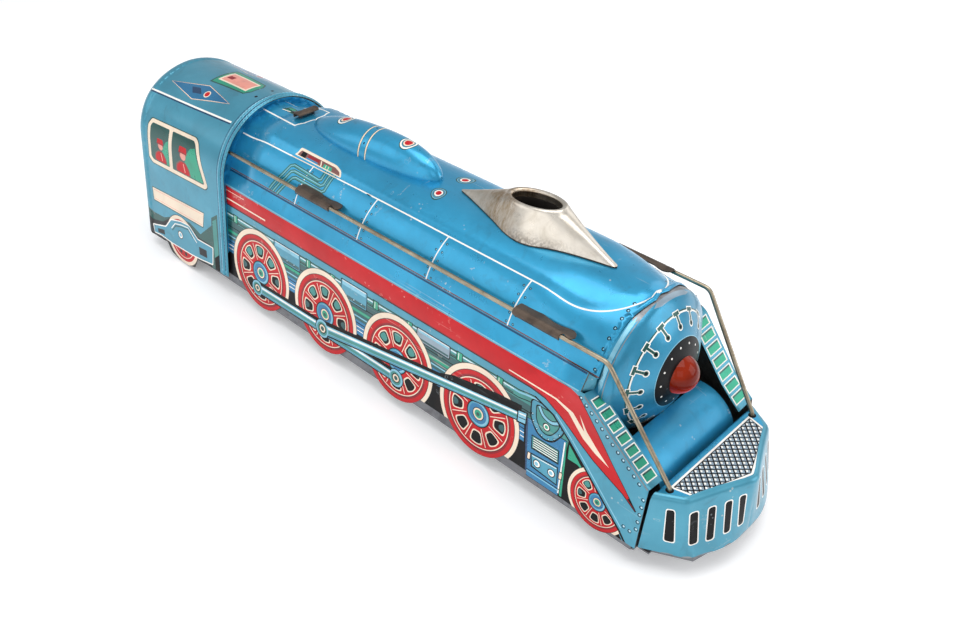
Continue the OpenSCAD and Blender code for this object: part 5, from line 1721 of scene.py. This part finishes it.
# ------------------------------------------------------------------ pilot
def pilot():
    zb, zt, rf, s, brk, place, wmap = PIL_Z0, PIL_Z1, PIL_F, PIL_S, PIL_BRK, pilot_place, pilot_wall
    H1, H2 = PIL_H1, PIL_H2
    c1, c2, c3 = (0.5 * (brk[1] + brk[2]), 0.5 * (brk[3] + brk[4]), 0.5 * (brk[5] + brk[6]))
    S = Sheet("pilot_wall", [(0.05, 0.05), (s[-1] - 0.05, 0.05), (s[-1] - 0.05, H2), (0.05, H2)], "blue_side", wmap, (2.0, 2.0))
    for sv in np.arange(0.3, s[-1], 1.1):
        for h in np.arange(H1 - 0.2, H2, 0.45):
            S.steiner.append((float(sv), float(h)))
    for c, w in ((brk[1], brk[2]), (brk[3], brk[4]), (brk[5], brk[6])):
        for sv in np.arange(c, w, 0.5):
            for h in np.arange(1.2, H1, 1.6):
                S.steiner.append((float(sv), float(h)))

    def slot(cs, w, z0, z1, lean_s=0.0):
        def box(g, r):
            a, b = z0 - zb - g, z1 - zb + g
            return rounded([(cs - w / 2 - g - lean_s, a), (cs + w / 2 + g - lean_s, a), (cs + w / 2 + g + lean_s, b), (cs - w / 2 - g + lean_s, b)], r, 4)
        S.poly("white", box(0.55, 1.5))
        S.poly("brown_ink", box(0.05, 1.3))
        S.poly("black", box(0.0, 1.2))

    for cs, w, lean, h0, h1 in ((12.3, 4.3, 0.0, 6.8, 22.7), (23.2, 3.5, 0.5, 6.8, 21.9), (30.85, 3.1, 1.0, 6.4, 21.6), (38.8, 3.0, 0.8, 6.8, 21.6), (46.05, 2.9, 0.2, 6.8, 21.9)):
        slot(cs, w, zb + h0, zb + h1, lean)
        slot(s[-1] - cs, w, zb + h0, zb + h1, -lean)
    # chipped lower edge
    for a, b, h in ((9.0, 14.5, 0.5), (17.5, 22.0, 0.9), (24.0, 31.0, 0.45), (36.0, 40.5, 0.7), (45.5, 51.5, 0.6)):
        for c, d in ((a, b), (s[-1] - b, s[-1] - a)):
            S.poly("bare_grey", [(c, 0.1), (d, 0.1), (d - 0.6, 0.1 + h * 0.7), (0.5 * (c + d) + 0.4, 0.1 + h), (c + 0.9, 0.1 + h * 0.6)])
    S.build("train", ("pilot",))

    # deck with the tread patch
    sv = np.linspace(0.05, s[-1] - 0.05, 150)
    edge = place(sv, zt, rf + 0.0 * sv)
    x0 = 162.6
    out = [(x0, float(edge[0, 1]))] + [(float(a), float(b)) for a, b, _ in edge] + [(x0, float(edge[-1, 1]))]

    def dmap(x, y):
        x, y = np.asarray(x, float), np.asarray(y, float)
        th = np.clip((167.6 - x) / 1.1, 0, math.pi / 2)
        xx = np.where(x < 167.6, 167.6 - 1.1 * np.sin(th), x)
        z = zt - 1.1 * (1 - np.cos(th)) - np.maximum(0, (167.6 - x) - 1.1 * math.pi / 2)
        return np.stack([xx, y, z], -1)

    D = Sheet("pilot_deck", out, "blue", dmap, (2.5, 2.5))
    for y in np.arange(-33, 33, 1.5):
        for x in np.arange(162.7, 167.7, 0.3):
            D.steiner.append((float(x), float(y)))
    patch = [(170.15, -28.4), (178.1, -26.3), (187.75, 0.0), (178.1, 26.3), (170.15, 28.4)]

    def grow(k):
        c = np.array([176.5, 0])
        o = []
        for i in range(len(patch)):
            a, b, e = (np.array(patch[j % len(patch)]) for j in (i - 1, i, i + 1))
            d1, d2 = (b - a) / np.linalg.norm(b - a), (e - b) / np.linalg.norm(e - b)
            n1, n2 = np.array([d1[1], -d1[0]]), np.array([d2[1], -d2[0]])
            if n1 @ (b - c) < 0:
                n1, n2 = -n1, -n2
            o.append(tuple(b + np.linalg.solve(np.array([n1, n2]), np.array([k, k]))))
        return o

    D.poly("white", rounded(grow(1.05), 0.4, 2))
    D.poly("black", grow(0.12))
    inner = grow(-0.2)

    def clip(poly):
        for i in range(len(inner)):
            a, b = np.array(inner[i]), np.array(inner[(i + 1) % len(inner)])
            e = b - a
            sgn = 1 if area2(inner) > 0 else -1
            res = []
            for j in range(len(poly)):
                p, r = np.array(poly[j]), np.array(poly[(j + 1) % len(poly)])
                dp = sgn * (e[0] * (p[1] - a[1]) - e[1] * (p[0] - a[0]))
                dr = sgn * (e[0] * (r[1] - a[1]) - e[1] * (r[0] - a[0]))
                if dp >= 0:
                    res.append(tuple(p))
                if (dp >= 0) != (dr >= 0):
                    t = dp / (dp - dr)
                    res.append(tuple(p + (r - p) * t))
            poly = res
            if len(poly) < 3:
                return None
        return poly

    hd, f = 1.635, 0.74
    for i in range(-1, 13):
        for j in range(-19, 20):
            if (i + j) % 2:
                continue
            c = (170.15 + i * hd, j * hd)
            k = hd * f
            q = clip([(c[0] - k, c[1]), (c[0], c[1] - k), (c[0] + k, c[1]), (c[0], c[1] + k)])
            if q is None:
                continue
            D.poly("grey_blue", q)
            b = clip([(c[0] - k * 0.94, c[1]), (c[0] - k * 0.26, c[1] - k * 0.68), (c[0] + k * 0.16, c[1] - k * 0.18), (c[0] - k * 0.42, c[1] + k * 0.46)])
            if b is not None:
                D.poly("white", b)
    # painted shade: black discs stand for the holes where the rails enter the deck
    for sg in (-1, 1):
        D.disc("black", 169.9, sg * 31.0, 1.75, 18)
    D.build("train", ("pilot",))


pilot()


# ------------------------------------------------------------------ handrails and their straps
def rails():
    for sg, nm in ((-1, "handrail_right"), (1, "handrail_left")):
        p = []
        for x in np.linspace(-119, 126, 70):
            px, py, pz = spread(x, 31.4, 83.5, 3.8 * float(smooth((x + 116) / 26)))
            p.append(Vector((px, sg * py, pz)))
        e = p[-1]
        p += bend([tuple(e), (136.9, sg * abs(e.y), e.z), (169.8, sg * 31.0, 40.4), (169.8, sg * 31.0, 33.5)], [5.0, 2.4])[1:]
        dense = []
        for a, b in zip(p[:-1], p[1:]):
            k = max(1, int((b - a).length / 12))
            dense += [a + (b - a) * (i / k) for i in range(k)]
        dense.append(p[-1])
        v, f = tube(dense, 0.98, 16)
        v, f = oriented(v, f)
        solid("rail_wire_%s" % ("r" if sg < 0 else "l"), v, f, ["wire"] * len(f), "train", (nm,), 40.0)
        # tin straps
        for tag, x0 in (("a", -56.0), ("b", 86.0)):
            q0, q = chain([(25.7, 85.25), (31.0, 85.35), (33.35, 83.9), (32.1, 81.55)], [1.3, 1.5])

            def smap(x, w, q0=q0, q=q, sg=sg):
                x, w = np.asarray(x, float), np.asarray(w, float)
                a, b, c = spread(x, np.interp(w, q0, q[:, 0]), np.interp(w, q0, q[:, 1]), 3.8 * smooth((x + 116) / 26))
                return np.stack([a, sg * b, c], -1)

            e = float(q0[-1]) - 0.02
            line = curve_through([(0.2, 2.0), (1.2, 0.7), (4.0, 0.25), (8.5, 0.3), (13.0, 1.2), (17.5, 2.1), (21.5, 2.1), (25.0, 1.2), (27.6, 1.0), (29.8, 2.1), (30.9, 4.2)], 5)
            out = line + [(30.4, 5.6), (29.0, 6.3), (27.2, 6.0), (25.9, 5.4), (24.9, 6.2), (24.5, e), (0.6, e), (0.0, e - 1.2)]
            T = Sheet("strap_%s_%s" % (tag, "r" if sg < 0 else "l"), [(x0 + a, max(0.02, b)) for a, b in out], "brown_tin", smap, (1.6, 0.45), t=0.5, back="brown_tin", edge="brown_tin",
                      outside=-1 if sg < 0 else 1)
            T.poly("dark_tin", rounded([(x0 + 2.2, 0.8), (x0 + 5.6, 0.7), (x0 + 5.6, 1.6), (x0 + 2.4, 1.7)], 0.3, 2))
            T.build("train", ("handrail_brackets",))


rails()


# ------------------------------------------------------------------ switch tab
def switch():
    q0, q = chain([(-87.2, 101.0), (-87.2, 105.6), (-83.9, 105.6), (-83.9, 103.2)], [0.7, 0.7])

    def tmap(w, y):
        w, y = np.asarray(w, float), np.asarray(y, float)
        return np.stack([np.interp(w, q0, q[:, 0]), y, np.interp(w, q0, q[:, 1])], -1)

    e = float(q0[-1])
    T = Sheet("switch_tab", [(2.6, -6.6), (e - 2.3, -6.6), (e - 1.6, -6.2), (e - 1.6, 6.2), (e - 2.3, 6.6), (2.6, 6.6)], "brown_tin", tmap, (0.5, 1.5), t=0.6, back="brown_tin", edge="brown_tin",
              outside=-1)
    T.build("switch", ("switch_lever",))
    B = Bag()
    for sg in (-1, 1):
        v = [(-86.4 + a * 1.9, sg * 4.0 + b * 0.7 - 0.35, 96.0 + c * 9.1) for c in (0, 1) for a, b in ((0, 0), (1, 0), (1, 1), (0, 1))]
        f = [(3, 2, 1, 0), (4, 5, 6, 7), (0, 1, 5, 4), (1, 2, 6, 5), (2, 3, 7, 6), (3, 0, 4, 7)]
        B.add(v, f, "dark_tin")
    B.build("switch_legs", "switch", ("switch_lever",))


switch()


# ------------------------------------------------------------------ rear panel of the cab
def rear_panel():
    def outline(g):
        right = []
        for v in np.linspace(V0 + 14.5, CAB_TOP, 70):
            y, z = float(np.interp(v, _cs, _cp[:, 0])), float(np.interp(v, _cs, _cp[:, 1]))
            if v < _cs[1]:
                n = (CL, SL)
            else:
                r = math.hypot(y, z - _cz)
                n = (y / r, (z - _cz) / r)
            right.append((y - n[0] * g, z - n[1] * g))
        right = [p for p in right if p[0] > 0.05]
        return [(-a, b) for a, b in right] + [(0.0, _cz + _cr0 - g)] + right[::-1]

    def rmap(a, b):
        a, b = np.asarray(a, float), np.asarray(b, float)
        e = np.clip(np.minimum(np.minimum(37.5 - np.abs(a), b - 11.5), 101.0 - b) / 4.0, 0, 1)
        return np.stack([-191.3 - 0.9 * smooth(e), a, b], -1)

    S = Sheet("cab_rear", outline(2.75), "blue_side", rmap, (3.0, 3.0), outside=-1)
    for a in (4.6,):
        S.line("white", outline(a + 2.0), 0.9, True)
        S.line("green_dark", outline(a + 2.9), 0.5, True)
    for sg in (-1, 1):
        w = [(sg * 8.0, 60.0), (sg * 27.5, 60.0), (sg * 25.5, 76.0), (sg * 8.0, 82.0)]
        S.poly("cream", rounded(w, 3.0, 4))
        w = [(sg * 9.3, 61.3), (sg * 26.0, 61.3), (sg * 24.2, 75.2), (sg * 9.3, 80.2)]
        S.poly("green_dark", rounded(w, 2.2, 4))
        S.line("green", [(sg * 12.5, 62.6), (sg * 22.0, 74.0)], 1.4)
    S.line("blue_deep", [(-33.5, 52.6), (33.5, 52.6)], 0.8)
    S.line("white", [(-33.5, 51.5), (33.5, 51.5)], 0.9)
    for k in range(-7, 8):
        S.rivet(k * 4.6, 48.6, 0.75)
        S.rivet(k * 4.9, 17.6, 0.75)
    S.poly("white", rounded([(-10.5, 20.6), (10.5, 20.6), (10.5, 45.2), (-10.5, 45.2)], 1.4, 4))
    S.poly("blue_mid", rounded([(-9.6, 21.5), (9.6, 21.5), (9.6, 44.3), (-9.6, 44.3)], 1.0, 4))
    S.disc("black", 6.6, 33.0, 1.5, 16)
    S.disc("cream", 6.6, 33.0, 1.0, 14)
    for sg in (-1, 1):
        for r, nm in ((4.4, "green_dark"), (3.9, "white"), (3.1, "black"), (2.7, "red")):
            S.disc(nm, sg * 24.5, 33.0, r, 28)
    S.build("train", ("cab_back",))


rear_panel()


# ------------------------------------------------------------------ plate between boiler and cab
def throat():
    right = []
    for v in np.linspace(0, CAB_TOP, 70):
        y, z = float(np.interp(v, _cs, _cp[:, 0])), float(np.interp(v, _cs, _cp[:, 1]))
        r = math.hypot(y, z - _cz)
        n = (CL, SL) if v < _cs[1] else (y / r, (z - _cz) / r)
        right.append((y - n[0] * 0.75, z - n[1] * 0.75))
    right = [p for p in right if p[0] > 0.05]
    out = [(-a, b) for a, b in right] + [(0.0, _cz + _cr0 - 0.75)] + right[::-1]

    def tmap(a, b):
        a, b = np.asarray(a, float), np.asarray(b, float)
        e = np.clip((_cr0 - 0.75 - np.hypot(a, np.maximum(b - _cz, 0))) / 3.0, 0, 1)
        return np.stack([CAB_X1 - 0.9 - 1.6 * smooth(e), a, b], -1)

    S = Sheet("cab_throat", out, "blue", tmap, (3.0, 2.0))
    S.build("train", ("cab_front",))


throat()


# ------------------------------------------------------------------ camera, light, stage
def camera():
    az, el, roll = (math.radians(a) for a in (42.2005478, 36.2177043, 1.8198621))
    back = Vector((math.sin(az) * math.cos(el), -math.cos(az) * math.cos(el), math.sin(el)))
    right = Vector((math.cos(az), math.sin(az), 0))
    up = back.cross(right)
    c, s = math.cos(roll), math.sin(roll)
    ax, ay = right * c + up * s, right * -s + up * c
    cam = bpy.data.cameras.new("photo_camera")
    cam.lens = 37.039
    cam.sensor_width = 36.0
    cam.sensor_fit = "HORIZONTAL"
    cam.clip_start = 0.01
    ob = bpy.data.objects.new("photo_camera", cam)
    m = Matrix((ax, ay, back)).transposed().to_4x4()
    m.translation = Vector((0.29735, -0.28514, 0.31972))
    ob.matrix_world = m
    bpy.context.scene.collection.objects.link(ob)
    bpy.context.scene.camera = ob


camera()


def area(name, loc, target, size, power, color=(1, 1, 1), size_y=None):
    l = bpy.data.lights.new(name, "AREA")
    l.energy = power
    l.color = color
    l.shape = "RECTANGLE"
    l.size = size
    l.size_y = size_y or size
    ob = bpy.data.objects.new(name, l)
    ob.location = loc
    d = Vector(target) - Vector(loc)
    ob.rotation_euler = d.to_track_quat("-Z", "Y").to_euler()
    bpy.context.scene.collection.objects.link(ob)


area("softbox_top", (0.05, -0.05, 0.95), (0, 0, 0.05), 0.9, 4.9, (1, 1, 1), 0.7)
area("softbox_front", (0.75, -0.75, 0.65), (0.05, 0, 0.05), 0.6, 1.0)
area("softbox_left", (-0.75, -0.75, 0.6), (0, 0, 0.05), 0.6, 1.2)
area("softbox_side", (-0.05, -0.95, 0.32), (0.03, 0, 0.07), 0.75, 1.6)
area("softbox_right", (0.85, 0.5, 0.45), (0.08, 0, 0.05), 0.6, 2.2)
area("softbox_back", (0.1, 0.95, 0.6), (0, 0, 0.06), 0.7, 1.4)

world = bpy.context.scene.world or bpy.data.worlds.new("studio")
bpy.context.scene.world = world
world.use_nodes = True
bgn = [n for n in world.node_tree.nodes if n.type == "BACKGROUND"][0]
bgn.inputs["Color"].default_value = (0.93, 0.96, 1.0, 1)
bgn.inputs["Strength"].default_value = 0.55


def floor():
    n, half = 24, 3.0
    verts, faces = [], []
    for i in range(n + 1):
        for j in range(n + 1):
            verts.append((-half + 2 * half * i / n, -half + 2 * half * j / n, -0.0002))
    for i in range(n):
        for j in range(n):
            a = i * (n + 1) + j
            faces.append((a, a + n + 1, a + n + 2, a + 1))
    m = bpy.data.materials.new("floor_pale")
    N = Nodes(m)
    vec = N.coords((1, 1, 1))
    b = N.new("ShaderNodeBsdfPrincipled")
    N.link(N.ramp(N.noise(vec, 3.0, 2.0), [(0.3, (0.93, 0.93, 0.935, 1)), (0.7, (0.95, 0.95, 0.95, 1))]), b.inputs["Base Color"])
    rr = N.new("ShaderNodeMapRange")
    rr.inputs["To Min"].default_value = 0.55
    rr.inputs["To Max"].default_value = 0.65
    N.link(N.noise(vec, 60.0, 3.0), rr.inputs["Value"])
    N.link(rr.outputs["Result"], b.inputs["Roughness"])
    b.inputs["Emission Color"].default_value = (1, 1, 1, 1)
    b.inputs["Emission Strength"].default_value = 0.20
    o = N.new("ShaderNodeOutputMaterial")
    N.link(b.outputs["BSDF"], o.inputs["Surface"])
    MATS["floor_pale"] = m
    ob = make_object("floor", verts, faces, ["floor_pale"] * len(faces))


floor()
bpy.context.scene.view_settings.view_transform = "Standard"
bpy.context.scene.view_settings.look = "None"

# ------------------------------------------------------------------ CAD pieces that stay in view
KEEP = {
    "headlamp_bulb": "bulb_glass", "bulb_socket": "brass", "lamp_lead": "black_plastic", "switch_contact": "brass", "base_plate": "base_tin",
    "base_screws": "steel", "battery_box": "steel", "batteries": "cell_jacket", "battery_contacts": "brass", "battery_door": "dark_tin",
    "door_hinge_pin": "steel", "turntable_bridge": "steel", "bogie_frame": "steel", "pivot_clip": "steel", "motor_can": "steel",
    "motor_pinion": "brass", "layshaft": "steel", "compound_gear": "brass", "axle_gear": "brass", "drive_axle": "steel", "drive_wheels": "wheel_tin",
    "drive_tyres": "rubber", "rear_axle_bracket": "steel", "rear_axle": "steel", "rear_wheels": "wheel_tin",
    "boiler_shell": "blue", "cab_shell": "blue", "cab_front": "blue_deep", "cab_back": "blue_side", "steam_dome": "blue", "smokestack": "nickel",
    "smokebox_front": "blue_mid", "headlamp_lens": "red_lens", "front_apron": "blue", "pilot": "blue_side", "handrail_right": "wire",
    "handrail_left": "wire", "handrail_brackets": "brown_tin", "switch_lever": "brown_tin", "side_panel_right": "blue_side", "side_panel_left": "blue_side",
}
for nm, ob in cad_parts.items():
    ob.data.materials.clear()
    ob.data.materials.append(MATS[KEEP[nm]])
